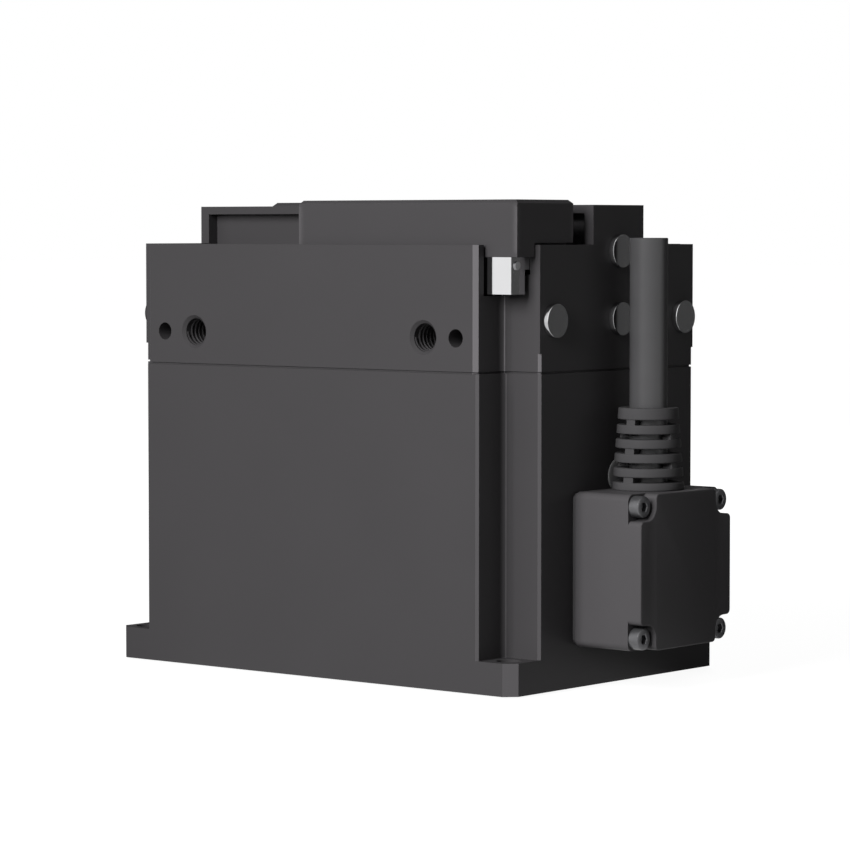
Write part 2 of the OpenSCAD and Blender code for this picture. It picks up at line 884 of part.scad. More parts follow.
// Involute pinion, a tooth centred on +X
module pinion_profile() {
    m = gear_module;
    z = pinion_teeth;
    rb = pitch_r * cos(20);
    ra = pitch_r + 0.95 * m;
    rf = pitch_r - 1.25 * m;
    half = (90 / z) - backlash / 2 / pitch_r * 180 / PI + inv(20) * 180 / PI;
    radii = [for (i = [0:5]) rb + (ra - rb) * i / 5];
    pts = [for (k = [0:z - 1])
        let (c = k * 360 / z)
            each concat(
                [[rf * cos(c - half), rf * sin(c - half)]],
                [for (i = [0:5]) let (a = c - flank(rb, radii[i], half)) [radii[i] * cos(a), radii[i] * sin(a)]],
                [for (i = [0:5]) let (a = c + flank(rb, radii[5 - i], half))
                    [radii[5 - i] * cos(a), radii[5 - i] * sin(a)]],
                [[rf * cos(c + half), rf * sin(c + half)]])];
    polygon(pts);
}

module pinion() {
    color(steel)
        difference() {
            union() {
                translate([0, 0, pinion_z])
                    linear_extrude(pinion_w)
                        pinion_profile();
                translate([0, 0, seam_z + 0.4])
                    cylinder(r = 5, h = pinion_z - seam_z - 0.3);
            }
            translate([0, 0, seam_z - 1])
                cylinder(r = shaft_r, h = 20);
        }
}

module drive_shaft() {
    color(steel)
        translate([0, 0, plate_z - 12])
            cylinder(r = shaft_r, h = top_bearing_z + bearing_w + 0.4 - plate_z + 12);
}

// Inner rings of the two shaft bearings
module bearing_inner_rings() {
    color(steel)
        for (z = [low_bearing_z, top_bearing_z])
            translate([0, 0, z + 0.1])
                difference() {
                    cylinder(r = shaft_r + 1.1 - run, h = bearing_w - 0.2);
                    translate([0, 0, -1])
                        cylinder(r = shaft_r, h = bearing_w + 2);
                }
}

// Outer rings of the two shaft bearings
module bearing_outer_rings() {
    color(steel)
        for (z = [low_bearing_z, top_bearing_z])
            translate([0, 0, z])
                difference() {
                    cylinder(r = bearing_r, h = bearing_w);
                    translate([0, 0, -1])
                        cylinder(r = shaft_r + 1.1, h = bearing_w + 2);
                }
}

module gearhead() {
    color(steel)
        difference() {
            translate([0, 0, plate_z - gearhead_l])
                cylinder(d = gearhead_d, h = gearhead_l);
            translate([0, 0, plate_z - 12.4])
                cylinder(r = shaft_r + run, h = 13);
            corners(drive_screw, drive_screw)
                translate([0, 0, plate_z - 4.5])
                    cylinder(d = housing_screw_d, h = 6);
        }
}

module gearhead_screws() {
    color(dark)
        corners(drive_screw, drive_screw)
            translate([0, 0, seam_z - housing_head_h - 0.2])
                cap_screw(housing_screw_d, top_plate - housing_head_h + 3.8, housing_head_d, housing_head_h);
}

module motor() {
    color(dark)
        union() {
            translate([0, 0, motor_z])
                cylinder(d = motor_d, h = motor_l);
            translate([0, 0, motor_z - 1.6])
                cylinder(d = motor_d - 8, h = 1.61);
        }
}

// Connector on the motor's side
module motor_connector() {
    color([0.85, 0.83, 0.78])
        difference() {
            span([motor_d / 2 - 1.2, -5, motor_z + 3], [motor_d / 2 + 4, 5, motor_z + 8]);
            translate([0, 0, motor_z - 1])
                cylinder(d = motor_d + 0.1, h = motor_l + 2);
            span([motor_d / 2 + 1.6, -4, motor_z + 4], [motor_d / 2 + 5, 4, motor_z + 7]);
        }
}

module controller_board() {
    color([0.05, 0.3, 0.15])
        difference() {
            span([-27, board_y, 9], [27, board_y + 1.6, 46]);
            for (x = board_screw_x)
                for (z = board_screw_z)
                    translate([x, board_y - 1, z])
                        rotate([-90, 0, 0])
                            cylinder(d = 2, h = 4);
        }
}

// Chips, driver block, capacitors and cable plug on the board's inner side
module board_components() {
    color([0.12, 0.12, 0.13]) {
        span([-20, board_y - 1.4, 30], [-8, board_y, 42]);
        span([4, board_y - 1.2, 33], [11, board_y, 40]);
        span([13, board_y - 1.2, 33], [20, board_y, 40]);
        span([-20, board_y - 3, 13], [-6, board_y, 18]);
        for (x = [2, 10, 18])
            translate([x, board_y, 20])
                rotate([90, 0, 0])
                    cylinder(d = 5, h = 4);
    }
}

module board_standoffs() {
    color([0.75, 0.62, 0.3])
        for (x = board_screw_x)
            for (z = board_screw_z)
                translate([x, board_y + 1.6, z])
                    rotate([-90, 0, 0])
                        difference() {
                            cylinder(d = 4, h = 3);
                            translate([0, 0, -1])
                                cylinder(d = 2, h = 5);
                        }
}

module board_screws() {
    color(dark)
        for (x = board_screw_x)
            for (z = board_screw_z)
                translate([x, board_y, z])
                    rotate([90, 0, 0])
                        cap_screw(2, 6, 3.8, 1.4);
}

// One flat plug with its stem
module plug(h) {
    cylinder(d = plug_d, h = h);
    translate([0, 0, -2.3])
        cylinder(d = plug_stem_d - 0.06, h = 2.31);
}

module end_plugs() {
    color([0.3, 0.3, 0.31])
        for (end = [-1, 1]) {
            at_plugs(end, true, false)
                plug(plug_h);
            at_plugs(end, false, true)
                plug(plug_low_h);
        }
}

// Side view of the cable box's rounded section, Y across and Z up
module box_section(grow) {
    w = box_w / 2 + grow;
    h = box_h / 2 + grow;
    r = 1.3;
    union() {
        square([2 * w, 2 * (h - r)], center = true);
        square([2 * (w - r), 2 * h], center = true);
        for (sx = [-1, 1])
            for (sy = [-1, 1])
                translate([sx * (w - r), sy * (h - r)])
                    circle(r = r);
    }
}

// Puts a flat drawing upright across X, centred on the cable box
module on_box(x) {
    translate([x, 0, box_z])
        rotate([90, 0, 90])
            children();
}

module cable_box() {
    x0 = hw + gasket_t;
    pocket = 4.3;
    color(black)
        difference() {
            union() {
                on_box(x0)
                    linear_extrude(box_x1 - x0 - 0.4)
                        box_section(0);
                on_box(box_x1 - 0.41)
                    linear_extrude(0.41)
                        box_section(-0.4);
            }
            for (sy = [-1, 1])
                for (sz = [-1, 1])
                    on_box(screw_x)
                        linear_extrude(10)
                            union() {
                                translate([sy * box_screw / 2, sz * box_screw / 2])
                                    circle(r = 2.5);
                                translate([sy * (box_screw / 2 + 3), sz * (box_screw / 2 + 3)])
                                    square([6, 6], center = true);
                                translate([sy * (box_screw / 2 + 3), sz * box_screw / 2])
                                    square([6, 5], center = true);
                                translate([sy * box_screw / 2, sz * (box_screw / 2 + 3)])
                                    square([5, 6], center = true);
                            }
            for (sy = [-1, 1])
                for (sz = [-1, 1])
                    translate([hw - 1, sy * box_screw / 2, box_z + sz * box_screw / 2])
                        rotate([0, 90, 0])
                            cylinder(d = 2, h = box_l + 2);
            span([x0 - 1, -9, box_z - 9.5], [box_x1 - 3, 9, box_z + 9.5]);
            translate([cable_cx, 0, box_z])
                cylinder(d = cable_d, h = box_h);
        }
}

module cable_box_gasket() {
    color([0.04, 0.04, 0.04])
        difference() {
            on_box(hw)
                linear_extrude(gasket_t)
                    box_section(-0.3);
            span([hw - 1, -9, box_z - 9.5], [hw + 2, 9, box_z + 9.5]);
            translate([hw - 1, 0, plug_low_z])
                rotate([0, 90, 0])
                    cylinder(d = plug_d + 0.4, h = 3);
            for (sy = [-1, 1])
                for (sz = [-1, 1])
                    translate([hw - 1, sy * box_screw / 2, box_z + sz * box_screw / 2])
                        rotate([0, 90, 0])
                            cylinder(d = 2, h = 3);
        }
}

module cable_box_screws() {
    color(dark)
        for (sy = [-1, 1])
            for (sz = [-1, 1])
                translate([screw_x, sy * box_screw / 2, box_z + sz * box_screw / 2])
                    rotate([0, 90, 0])
                        cap_screw(2, screw_x - hw + 2.4, 3.8, 2);
}

// Ribbed strain relief: a cone with flat slots cut round it, a bar left standing in each
module strain_relief() {
    color([0.1, 0.1, 0.1])
        translate([cable_cx, 0, box_top])
            difference() {
                cylinder(d1 = relief_d1, d2 = relief_d2, h = relief_h);
                for (i = [0:len(relief_slots) - 1])
                    translate([0, 0, relief_slots[i]])
                        difference() {
                            cylinder(d = relief_d1 + 2, h = relief_slot);
                            rotate([0, 0, i % 2 == 0 ? 90 : 0])
                                translate([-relief_d1, -relief_bar / 2, -1])
                                    cube([2 * relief_d1, relief_bar, relief_slot + 2]);
                        }
                translate([0, 0, -1])
                    cylinder(d = cable_d + 0.2, h = relief_h + 2);
            }
}

// Straight free cable, swept ring by ring
cable_path = [for (i = [0:3]) [cable_cx, 0, box_top - 4 + i * (cable_end_z - box_top + 4) / 3]];
cable_sides = 12;
cable_points = [for (p = cable_path)
    for (a = [0:cable_sides - 1])
        [p[0] + cable_d / 2 * cos(a * 30), p[1] + cable_d / 2 * sin(a * 30), p[2]]];
cable_faces = concat(
    [[for (a = [0:cable_sides - 1]) a]],
    [[for (a = [cable_sides - 1:-1:0]) (len(cable_path) - 1) * cable_sides + a]],
    [for (i = [0:len(cable_path) - 2])
        for (a = [0:cable_sides - 1])
            let (b = (a + 1) % cable_sides)
                [i * cable_sides + a, (i + 1) * cable_sides + a, (i + 1) * cable_sides + b, i * cable_sides + b]]);

module cable() {
    color([0.1, 0.1, 0.1])
        polyhedron(points = cable_points, faces = cable_faces, convexity = 4);
}

lower_housing();
bottom_cover();
bottom_cover_screws();
rail_housing();
housing_screws();
fixed_rails();
fixed_rail_screws();
front_jaw();
front_slide();
front_rack();
front_jaw_screws();
front_rack_screws();
front_slide_stop();
rear_jaw();
rear_slide();
rear_rack();
rear_jaw_screws();
rear_rack_screws();
rear_slide_stop();
front_roller_cages();
front_rollers();
rear_roller_cages();
rear_rollers();
pinion();
drive_shaft();
bearing_inner_rings();
bearing_outer_rings();
gearhead();
gearhead_screws();
motor();
motor_connector();
controller_board();
board_components();
board_standoffs();
board_screws();
end_plugs();
cable_box();
cable_box_gasket();
cable_box_screws();
strain_relief();
cable();
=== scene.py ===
"""Looks of an electric two jaw gripper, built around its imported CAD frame.

Sizes are in metres, in the CAD's frame: the origin is the centre of the mounting face, +X runs along the
jaws' travel towards the cable outlet, +Y into the depth and +Z from the mounting face to the jaws.
"""

import logging
import math
from abc import ABC, abstractmethod
from dataclasses import dataclass, field
from enum import Enum
from typing import Any

import bmesh
import bpy
from mathutils import Matrix, Vector


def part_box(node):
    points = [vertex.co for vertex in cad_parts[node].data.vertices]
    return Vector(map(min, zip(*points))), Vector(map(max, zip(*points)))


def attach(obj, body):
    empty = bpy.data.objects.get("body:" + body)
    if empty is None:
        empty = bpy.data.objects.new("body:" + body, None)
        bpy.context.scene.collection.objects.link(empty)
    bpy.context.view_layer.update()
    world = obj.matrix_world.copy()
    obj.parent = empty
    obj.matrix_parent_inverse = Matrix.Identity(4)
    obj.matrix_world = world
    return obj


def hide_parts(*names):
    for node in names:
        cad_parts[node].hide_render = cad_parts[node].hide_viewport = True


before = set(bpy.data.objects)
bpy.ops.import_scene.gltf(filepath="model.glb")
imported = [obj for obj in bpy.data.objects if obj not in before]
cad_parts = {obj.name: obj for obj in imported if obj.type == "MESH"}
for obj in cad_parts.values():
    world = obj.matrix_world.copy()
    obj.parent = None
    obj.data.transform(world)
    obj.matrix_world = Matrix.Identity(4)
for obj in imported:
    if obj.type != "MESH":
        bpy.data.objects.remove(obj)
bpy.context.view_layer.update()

LOG = logging.getLogger("gripper")
MM = 0.001
MERGE = 1e-6  # vertices nearer than this are one
ON_AXIS = 1e-9  # a smaller radius lies on the axis
SAME_WAY = 0.9999  # the cosine from which two ways count as one
BEVEL_SAMPLES = 6
WHITE = (1, 1, 1, 1)
Colour = tuple[float, float, float]
Point = tuple[float, float, float]
Pair = tuple[float, float]
Spot = tuple[Point, Point]


class Body(Enum):
    """The rigid bodies that the added pieces ride on."""

    HOUSING = "housing"


class Slot(Enum):
    """Names of material slots; nothing in this script uses them."""

    BODY = "anodised_body"
    SCREW = "black_oxide"
    PLUG = "plug_grey"
    RUBBER = "rubber"
    CABLE = "cable_jacket"
    BRASS = "brass"


class Wire:
    """A node socket whose Python operators add Math nodes to its tree."""

    def __init__(self, tree: "Tree", socket: bpy.types.NodeSocket) -> None:
        """Keeps the tree and the socket."""
        self.tree = tree
        self.socket = socket

    def _math(self, operation: str, *values: "Wire | float") -> "Wire":
        """Adds one Math node on the given values."""
        return self.tree.node("ShaderNodeMath", {"operation": operation}, dict(enumerate(values)))

    def __add__(self, other: "Wire | float") -> "Wire":
        """Sum."""
        return self._math("ADD", self, other)

    __radd__ = __add__

    def __sub__(self, other: "Wire | float") -> "Wire":
        """Difference."""
        return self._math("SUBTRACT", self, other)

    def __rsub__(self, other: float) -> "Wire":
        """Difference from a number."""
        return self._math("SUBTRACT", other, self)

    def __mul__(self, other: "Wire | float") -> "Wire":
        """Product."""
        return self._math("MULTIPLY", self, other)

    __rmul__ = __mul__

    def __truediv__(self, other: "Wire | float") -> "Wire":
        """Quotient."""
        return self._math("DIVIDE", self, other)

    def __gt__(self, other: "Wire | float") -> "Wire":
        """1 where this is greater, else 0."""
        return self._math("GREATER_THAN", self, other)

    def absolute(self) -> "Wire":
        """This value without its sign."""
        return self._math("ABSOLUTE", self)

    def clamped(self) -> "Wire":
        """This value kept from 0 to 1."""
        return self.tree.node("ShaderNodeClamp", {}, {0: self})

    def ramp(self, start: float, end: float, low: float = 0.0, high: float = 1.0) -> "Wire":
        """Low before start, high after end and a soft rise between them."""
        return self.tree.node(
            "ShaderNodeMapRange",
            {"interpolation_type": "SMOOTHSTEP"},
            {0: self, 1: start, 2: end, 3: low, 4: high},
        )

    def other(self, output: str) -> "Wire":
        """Another output of the same node."""
        return Wire(self.tree, self.socket.node.outputs[output])


class Tree:
    """A node tree with one way to add any node."""

    def __init__(self, tree: bpy.types.NodeTree) -> None:
        """Keeps the Blender tree that nodes go into."""
        self.tree = tree

    def node(
        self,
        kind: str,
        settings: dict[str, Any] | None = None,
        inputs: dict[Any, Any] | None = None,
        out: int | str = 0,
    ) -> Wire | None:
        """Adds a node.

        Args:
            kind: the node's type, such as "ShaderNodeTexNoise".
            settings: its own properties, such as a Math node's operation, set first.
            inputs: values or links by the socket's name or number. A list links several to one socket.
            out: the output that is handed back.

        Returns:
            The chosen output as a Wire, or None from a node that has no outputs.
        """
        made = self.tree.nodes.new(kind)
        for name, value in (settings or {}).items():
            setattr(made, name, value)
        for key, value in (inputs or {}).items():
            if isinstance(value, (Wire, list)):
                for wire in value if isinstance(value, list) else [value]:
                    self.tree.links.new(wire.socket, made.inputs[key])
            else:
                made.inputs[key].default_value = value
        return Wire(self, made.outputs[out]) if made.outputs else None

    def vector_math(self, operation: str, *values: Any) -> Wire:
        """Adds one Vector Math node; a dot product or a length comes back as a number."""
        out = "Value" if operation in ("DOT_PRODUCT", "LENGTH") else "Vector"
        return self.node("ShaderNodeVectorMath", {"operation": operation}, dict(enumerate(values)), out)


def tinted(colour: Colour, factor: float) -> Colour:
    """A colour made lighter or darker by a factor."""
    return tuple(min(1.0, c * factor) for c in colour)


class Shader(Tree):
    """A material's tree, with the patterns that the finishes share.

    Upright edges are found by how far the soft normal bends away from the face's own and by how little it
    tilts up or down. bend and tilt say where each of the two starts to count and counts fully.
    """

    bend: Pair = (0.01, 0.12)
    tilt: Pair = (0.1, 0.4)

    def __init__(self, name: str) -> None:
        """Makes an empty material under the given name."""
        self.material = bpy.data.materials.new(name)
        self.material.use_nodes = True
        self.material.node_tree.nodes.clear()
        super().__init__(self.material.node_tree)

    def place(self, stretch: Point = (1, 1, 1)) -> Wire:
        """Object coordinates, multiplied along each axis."""
        return self.vector_math("MULTIPLY", self.node("ShaderNodeTexCoord", out="Object"), stretch)

    def noise(self, size: float, detail: float = 2.0, stretch: Point = (1, 1, 1)) -> Wire:
        """Noise from 0 to 1 whose features are about size across, in metres."""
        return self.node(
            "ShaderNodeTexNoise",
            {"noise_dimensions": "3D"},
            {"Vector": self.place(stretch), "Scale": 1 / size, "Detail": detail},
        )

    def blend(self, mask: Wire, low: Wire | Colour, high: Wire | Colour) -> Wire:
        """Mixes two colours, or two links that carry colours, by a mask."""
        low, high = (end if isinstance(end, Wire) else (*end, 1.0) for end in (low, high))
        return self.node("ShaderNodeMix", {"data_type": "RGBA"}, {"Factor": mask, 6: low, 7: high}, out=2)

    def mottled(self, mask: Wire, colour: Colour, tints: Pair) -> Wire:
        """A colour that goes from one tint of itself to another by a mask."""
        return self.blend(mask, tinted(colour, tints[0]), tinted(colour, tints[1]))

    def rounded(self, radius: float) -> Wire:
        """A normal that turns softly over edges of the given radius."""
        return self.node("ShaderNodeBevel", {"samples": BEVEL_SAMPLES}, {"Radius": radius})

    def upright_chamfer(self) -> Wire:
        """Picks out the upright chamfers, where a painted highlight goes.

        Returns:
            1 on flat upright faces that stand at 45 degrees to the sides, and 0 elsewhere.
        """
        normal = self.node("ShaderNodeNewGeometry", out="True Normal")
        diagonal = (math.sqrt(0.5), math.sqrt(0.5), 0.0)
        along = self.vector_math("DOT_PRODUCT", self.vector_math("ABSOLUTE", normal), diagonal)
        return along > SAME_WAY

    def upright_edge(self, radius: float) -> Wire:
        """Picks out the upright edges, where a painted highlight goes.

        Args:
            radius: how far from an edge the mask reaches.

        Returns:
            1 along upright edges, and 0 on flat faces and level edges.
        """
        soft = self.rounded(radius)
        flat = self.node("ShaderNodeNewGeometry", out="True Normal")
        along = self.vector_math("DOT_PRODUCT", soft, flat)
        rise = self.node("ShaderNodeSeparateXYZ", {}, {0: soft}, out="Z")
        return (1.0 - along).ramp(*self.bend) * (1.0 - rise.absolute().ramp(*self.tilt))

    def bump(self, height: Wire, depth: float, normal: Wire | None = None) -> Wire:
        """Raises a surface by a pattern.

        Args:
            height: the pattern, from 0 to 1.
            depth: how far 1 stands above 0, in metres.
            normal: the normal that it starts from, if not the surface's own.

        Returns:
            The raised surface's normal.
        """
        inputs: dict[str, Any] = {"Height": height, "Distance": depth, "Strength": 1.0}
        if normal is not None:
            inputs["Normal"] = normal
        return self.node("ShaderNodeBump", {}, inputs)

    def finish(self, inputs: dict[str, Any]) -> bpy.types.Material:
        """Ends the tree in a Principled shader.

        Args:
            inputs: values or links of the shader's sockets.

        Returns:
            The finished material.
        """
        surface = self.node("ShaderNodeBsdfPrincipled", {}, inputs)
        self.node("ShaderNodeOutputMaterial", {}, {"Surface": surface})
        return self.material


class Finish(ABC):
    """A surface finish that a material is made from."""

    @abstractmethod
    def sockets(self, sh: Shader) -> dict[str, Any]:
        """The Principled shader's values and links, drawn in the given tree."""

    def make(self, name: str) -> bpy.types.Material:
        """Builds the material under the given name."""
        sh = Shader(name)
        return sh.finish(self.sockets(sh))


@dataclass(frozen=True)
class Anodised(Finish):
    """Bead blasted and anodised aluminium: matte and faintly clouded, with a painted highlight on its
    upright chamfers.

    The painted highlight lies on the upright chamfers or, where rim is given, on the upright edges within
    it. It is lighter by the factor cut and stands in for the glints that light gives on those edges.
    """

    colour: Colour = (0.0350, 0.0335, 0.0351)
    roughness: float = 0.48
    specular: float = 0.18
    edge: float = 0.15 * MM
    # cut: how many times lighter the painted highlight is than the plain face
    cut: float = 2.0
    rim: float = 0.0
    cloud_size: float = 18 * MM
    cloud_share: float = 0.75
    cloud_sheen: float = 0.08
    grit_size: float = 0.22 * MM
    grit_depth: float = 0.003 * MM
    tints: Pair = (0.92, 1.08)
    highlight_tints: Pair = (0.96, 1.04)

    def sockets(self, sh: Shader) -> dict[str, Any]:
        """The matte face with its clouds and grit, and the painted highlight on its upright chamfers or
        edges.

        Args:
            sh: the material's tree.

        Returns:
            Values and links for the Principled shader.
        """
        cloud = sh.noise(self.cloud_size, detail=3.0)
        grit = sh.noise(self.grit_size)
        tone = (cloud * self.cloud_share + grit * (1 - self.cloud_share)).clamped()
        edge = sh.rounded(self.edge)
        plain = sh.mottled(tone, self.colour, self.tints)
        # Painted highlight: upright chamfers or edges take a colour lighter by the factor cut, in place of
        # light's glints
        cut = sh.mottled(tone, tinted(self.colour, self.cut), self.highlight_tints)
        bright = sh.upright_edge(self.rim) if self.rim else sh.upright_chamfer()
        return {
            "Base Color": sh.blend(bright, plain, cut),
            "Roughness": self.roughness - self.cloud_sheen / 2 + self.cloud_sheen * cloud,
            "Specular IOR Level": self.specular,
            "Normal": sh.bump(grit, self.grit_depth, edge),
        }


@dataclass(frozen=True)
class GroundSteel(Finish):
    """Hardened steel, ground along its length and polished."""

    colour: Colour = (0.78, 0.78, 0.79)
    roughness: float = 0.10
    along: Point = (0.02, 1, 1)
    edge: float = 0.08 * MM
    scratch_size: float = 0.12 * MM
    scratch_depth: float = 0.0003 * MM
    scratch_sheen: float = 0.06
    cloud_size: float = 6 * MM
    tints: Pair = (0.94, 1.0)

    def sockets(self, sh: Shader) -> dict[str, Any]:
        """Bright metal with fine scratches along its length.

        Args:
            sh: the material's tree.

        Returns:
            Values and links for the Principled shader.
        """
        scratch = sh.noise(self.scratch_size, detail=3.0, stretch=self.along)
        cloud = sh.noise(self.cloud_size)
        return {
            "Base Color": sh.mottled(cloud, self.colour, self.tints),
            "Roughness": self.roughness + self.scratch_sheen * scratch,
            "Metallic": 1.0,
            "Normal": sh.bump(scratch, self.scratch_depth, sh.rounded(self.edge)),
        }


@dataclass(frozen=True)
class BlackOxide(Finish):
    """Blackened steel screws: dark, oily and faintly blotched."""

    colour: Colour = (0.13, 0.13, 0.135)
    roughness: float = 0.30
    metallic: float = 0.75
    edge: float = 0.12 * MM
    blotch_size: float = 1.2 * MM
    blotch_depth: float = 0.004 * MM
    blotch_sheen: float = 0.12
    tints: Pair = (0.7, 1.4)

    def sockets(self, sh: Shader) -> dict[str, Any]:
        """Dark metal with blotches.

        Args:
            sh: the material's tree.

        Returns:
            Values and links for the Principled shader.
        """
        blotch = sh.noise(self.blotch_size, detail=4.0)
        return {
            "Base Color": sh.mottled(blotch, self.colour, self.tints),
            "Roughness": self.roughness + self.blotch_sheen * blotch,
            "Metallic": self.metallic,
            "Normal": sh.bump(blotch, self.blotch_depth, sh.rounded(self.edge)),
        }


@dataclass(frozen=True)
class Moulded(Finish):
    """Moulded plastic or rubber: a fine erosion texture under a soft sheen."""

    colour: Colour
    roughness: float = 0.5
    specular: float = 0.4
    edge: float = 0.18 * MM
    grain_size: float = 0.18 * MM
    grain_depth: float = 0.006 * MM
    grain_sheen: float = 0.1
    cloud_size: float = 9 * MM
    tints: Pair = (0.9, 1.1)

    def sockets(self, sh: Shader) -> dict[str, Any]:
        """A grained face with faint clouds.

        Args:
            sh: the material's tree.

        Returns:
            Values and links for the Principled shader.
        """
        grain = sh.noise(self.grain_size)
        cloud = sh.noise(self.cloud_size)
        return {
            "Base Color": sh.mottled(cloud, self.colour, self.tints),
            "Roughness": self.roughness - self.grain_sheen / 2 + self.grain_sheen * grain,
            "Specular IOR Level": self.specular,
            "Normal": sh.bump(grain, self.grain_depth, sh.rounded(self.edge)),
        }


@dataclass(frozen=True)
class Jacket(Finish):
    """Extruded cable jacket: smooth, with faint draw lines along its length."""

    colour: Colour = (0.042, 0.0415, 0.043)
    roughness: float = 0.36
    specular: float = 0.45
    along: Point = (1, 1, 0.03)
    draw_size: float = 0.4 * MM
    draw_depth: float = 0.005 * MM
    draw_sheen: float = 0.08
    cloud_size: float = 6 * MM
    tints: Pair = (0.9, 1.15)

    def sockets(self, sh: Shader) -> dict[str, Any]:
        """A smooth face with lines drawn along it.

        Args:
            sh: the material's tree.

        Returns:
            Values and links for the Principled shader.
        """
        draw = sh.noise(self.draw_size, stretch=self.along)
        cloud = sh.noise(self.cloud_size)
        return {
            "Base Color": sh.mottled(cloud, self.colour, self.tints),
            "Roughness": self.roughness + self.draw_sheen * draw,
            "Specular IOR Level": self.specular,
            "Normal": sh.bump(draw, self.draw_depth),
        }


@dataclass(frozen=True)
class PlainMetal(Finish):
    """Turned or pressed metal with a soft grain: brass, copper and the motor's can."""

    colour: Colour
    roughness: float = 0.3
    metallic: float = 1.0
    along: Point = (0.1, 0.1, 1)
    edge: float = 0.15 * MM
    grain_size: float = 0.2 * MM
    grain_depth: float = 0.002 * MM
    grain_sheen: float = 0.1
    cloud_size: float = 5 * MM
    tints: Pair = (0.88, 1.08)

    def sockets(self, sh: Shader) -> dict[str, Any]:
        """Metal with a grain and faint clouds.

        Args:
            sh: the material's tree.

        Returns:
            Values and links for the Principled shader.
        """
        grain = sh.noise(self.grain_size, stretch=self.along)
        cloud = sh.noise(self.cloud_size, detail=3.0)
        return {
            "Base Color": sh.mottled(cloud, self.colour, self.tints),
            "Roughness": self.roughness + self.grain_sheen * grain,
            "Metallic": self.metallic,
            "Normal": sh.bump(grain, self.grain_depth, sh.rounded(self.edge)),
        }


@dataclass(frozen=True)
class CircuitBoard(Finish):
    """Green solder mask over copper tracks."""

    mask: Colour = (0.012, 0.10, 0.045)
    track: Colour = (0.03, 0.2, 0.09)
    roughness: float = 0.32
    coat: float = 0.4
    along: Point = (1, 0.1, 1)
    cells_per_metre: float = 420.0
    track_edge: float = 0.42
    track_height: float = 0.03 * MM

    def sockets(self, sh: Shader) -> dict[str, Any]:
        """Tracks that stand up under a glossy mask.

        Args:
            sh: the material's tree.

        Returns:
            Values and links for the Principled shader.
        """
        cells = sh.node(
            "ShaderNodeTexVoronoi",
            {"distance": "MANHATTAN", "feature": "F1"},
            {"Vector": sh.place(self.along), "Scale": self.cells_per_metre},
        )
        tracks = cells > self.track_edge
        return {
            "Base Color": sh.blend(tracks, self.mask, self.track),
            "Roughness": self.roughness,
            "Coat Weight": self.coat,
            "Normal": sh.bump(tracks, self.track_height),
        }


def placed(name: str, data: bpy.types.ID) -> bpy.types.Object:
    """A new object in the scene, at the origin.

    Args:
        name: its name.
        data: its mesh, lamp or camera.

    Returns:
        The new object.
    """
    obj = bpy.data.objects.new(name, data)
    bpy.context.scene.collection.objects.link(obj)
    return obj


def settled(obj: bpy.types.Object) -> bpy.types.Mesh:
    """Runs an object's modifiers and keeps their result as its plain mesh, faces outwards.

    Args:
        obj: the object; its modifiers are removed.

    Returns:
        The object's new mesh.
    """
    graph = bpy.context.evaluated_depsgraph_get()
    mesh = bpy.data.meshes.new_from_object(obj.evaluated_get(graph))
    obj.modifiers.clear()
    obj.data = mesh
    face_outwards(mesh)
    return mesh


class Growth(Tree):
    """A Geometry Nodes tree with named sizes, run once to give a plain mesh."""

    def __init__(self, name: str) -> None:
        """Makes a tree that takes points and gives geometry.

        Args:
            name: the name of the tree and of the piece that it grows.
        """
        super().__init__(bpy.data.node_groups.new(name, "GeometryNodeTree"))
        for socket, side in (("Geometry", "OUTPUT"), ("Points", "INPUT")):
            self.tree.interface.new_socket(socket, in_out=side, socket_type="NodeSocketGeometry")
        self.name = name
        self.points = self.node("NodeGroupInput", out="Points")
        self.values: dict[str, float] = {}

    def size(self, name: str, value: float) -> Wire:
        """Adds a named number to the tree's inputs.

        Args:
            name: the input's name.
            value: the number that the tree is run with.

        Returns:
            The number inside the tree.
        """
        item = self.tree.interface.new_socket(name, in_out="INPUT", socket_type="NodeSocketFloat")
        self.values[item.identifier] = value
        return self.points.other(name)

    def vector(self, x: Any = 0.0, y: Any = 0.0, z: Any = 0.0) -> Wire:
        """A vector from three values or links."""
        return self.node("ShaderNodeCombineXYZ", {}, {0: x, 1: y, 2: z})

    def moved(self, part: Wire, shift: Point = (0, 0, 0), turn: Point = (0, 0, 0)) -> Wire:
        """The geometry moved and turned."""
        inputs = {"Geometry": part, "Translation": shift, "Rotation": turn}
        return self.node("GeometryNodeTransform", {}, inputs)

    def joined(self, *parts: Wire) -> Wire:
        """Several geometries as one, in their order."""
        return self.node("GeometryNodeJoinGeometry", {}, {0: list(reversed(parts))})

    def grow(
        self, shape: Wire, finish: bpy.types.Material, points: bpy.types.Mesh | None = None
    ) -> bpy.types.Object:
        """Ends the tree, runs it and keeps its result as a plain mesh.

        Args:
            shape: the geometry to keep; its instances are made real.
            finish: the material set on it.
            points: the mesh that the tree takes as its points.

        Returns:
            An object at the origin with no modifiers.
        """
        real = self.node("GeometryNodeRealizeInstances", {}, {0: shape})
        dressed = self.node("GeometryNodeSetMaterial", {}, {"Geometry": real, "Material": finish})
        self.node("NodeGroupOutput", {}, {0: dressed})
        obj = placed(self.name, points or bpy.data.meshes.new(self.name))
        run = obj.modifiers.new("grow", "NODES")
        run.node_group = self.tree
        for identifier, value in self.values.items():
            run[identifier] = value
        settled(obj)
        return obj


def face_outwards(mesh: bpy.types.Mesh) -> None:
    """Merges doubles and turns every face outwards.

    Args:
        mesh: the mesh, changed in place.
    """
    bm = bmesh.new()
    bm.from_mesh(mesh)
    bmesh.ops.remove_doubles(bm, verts=bm.verts, dist=MERGE)
    bmesh.ops.recalc_face_normals(bm, faces=bm.faces)
    bm.to_mesh(mesh)
    bm.free()


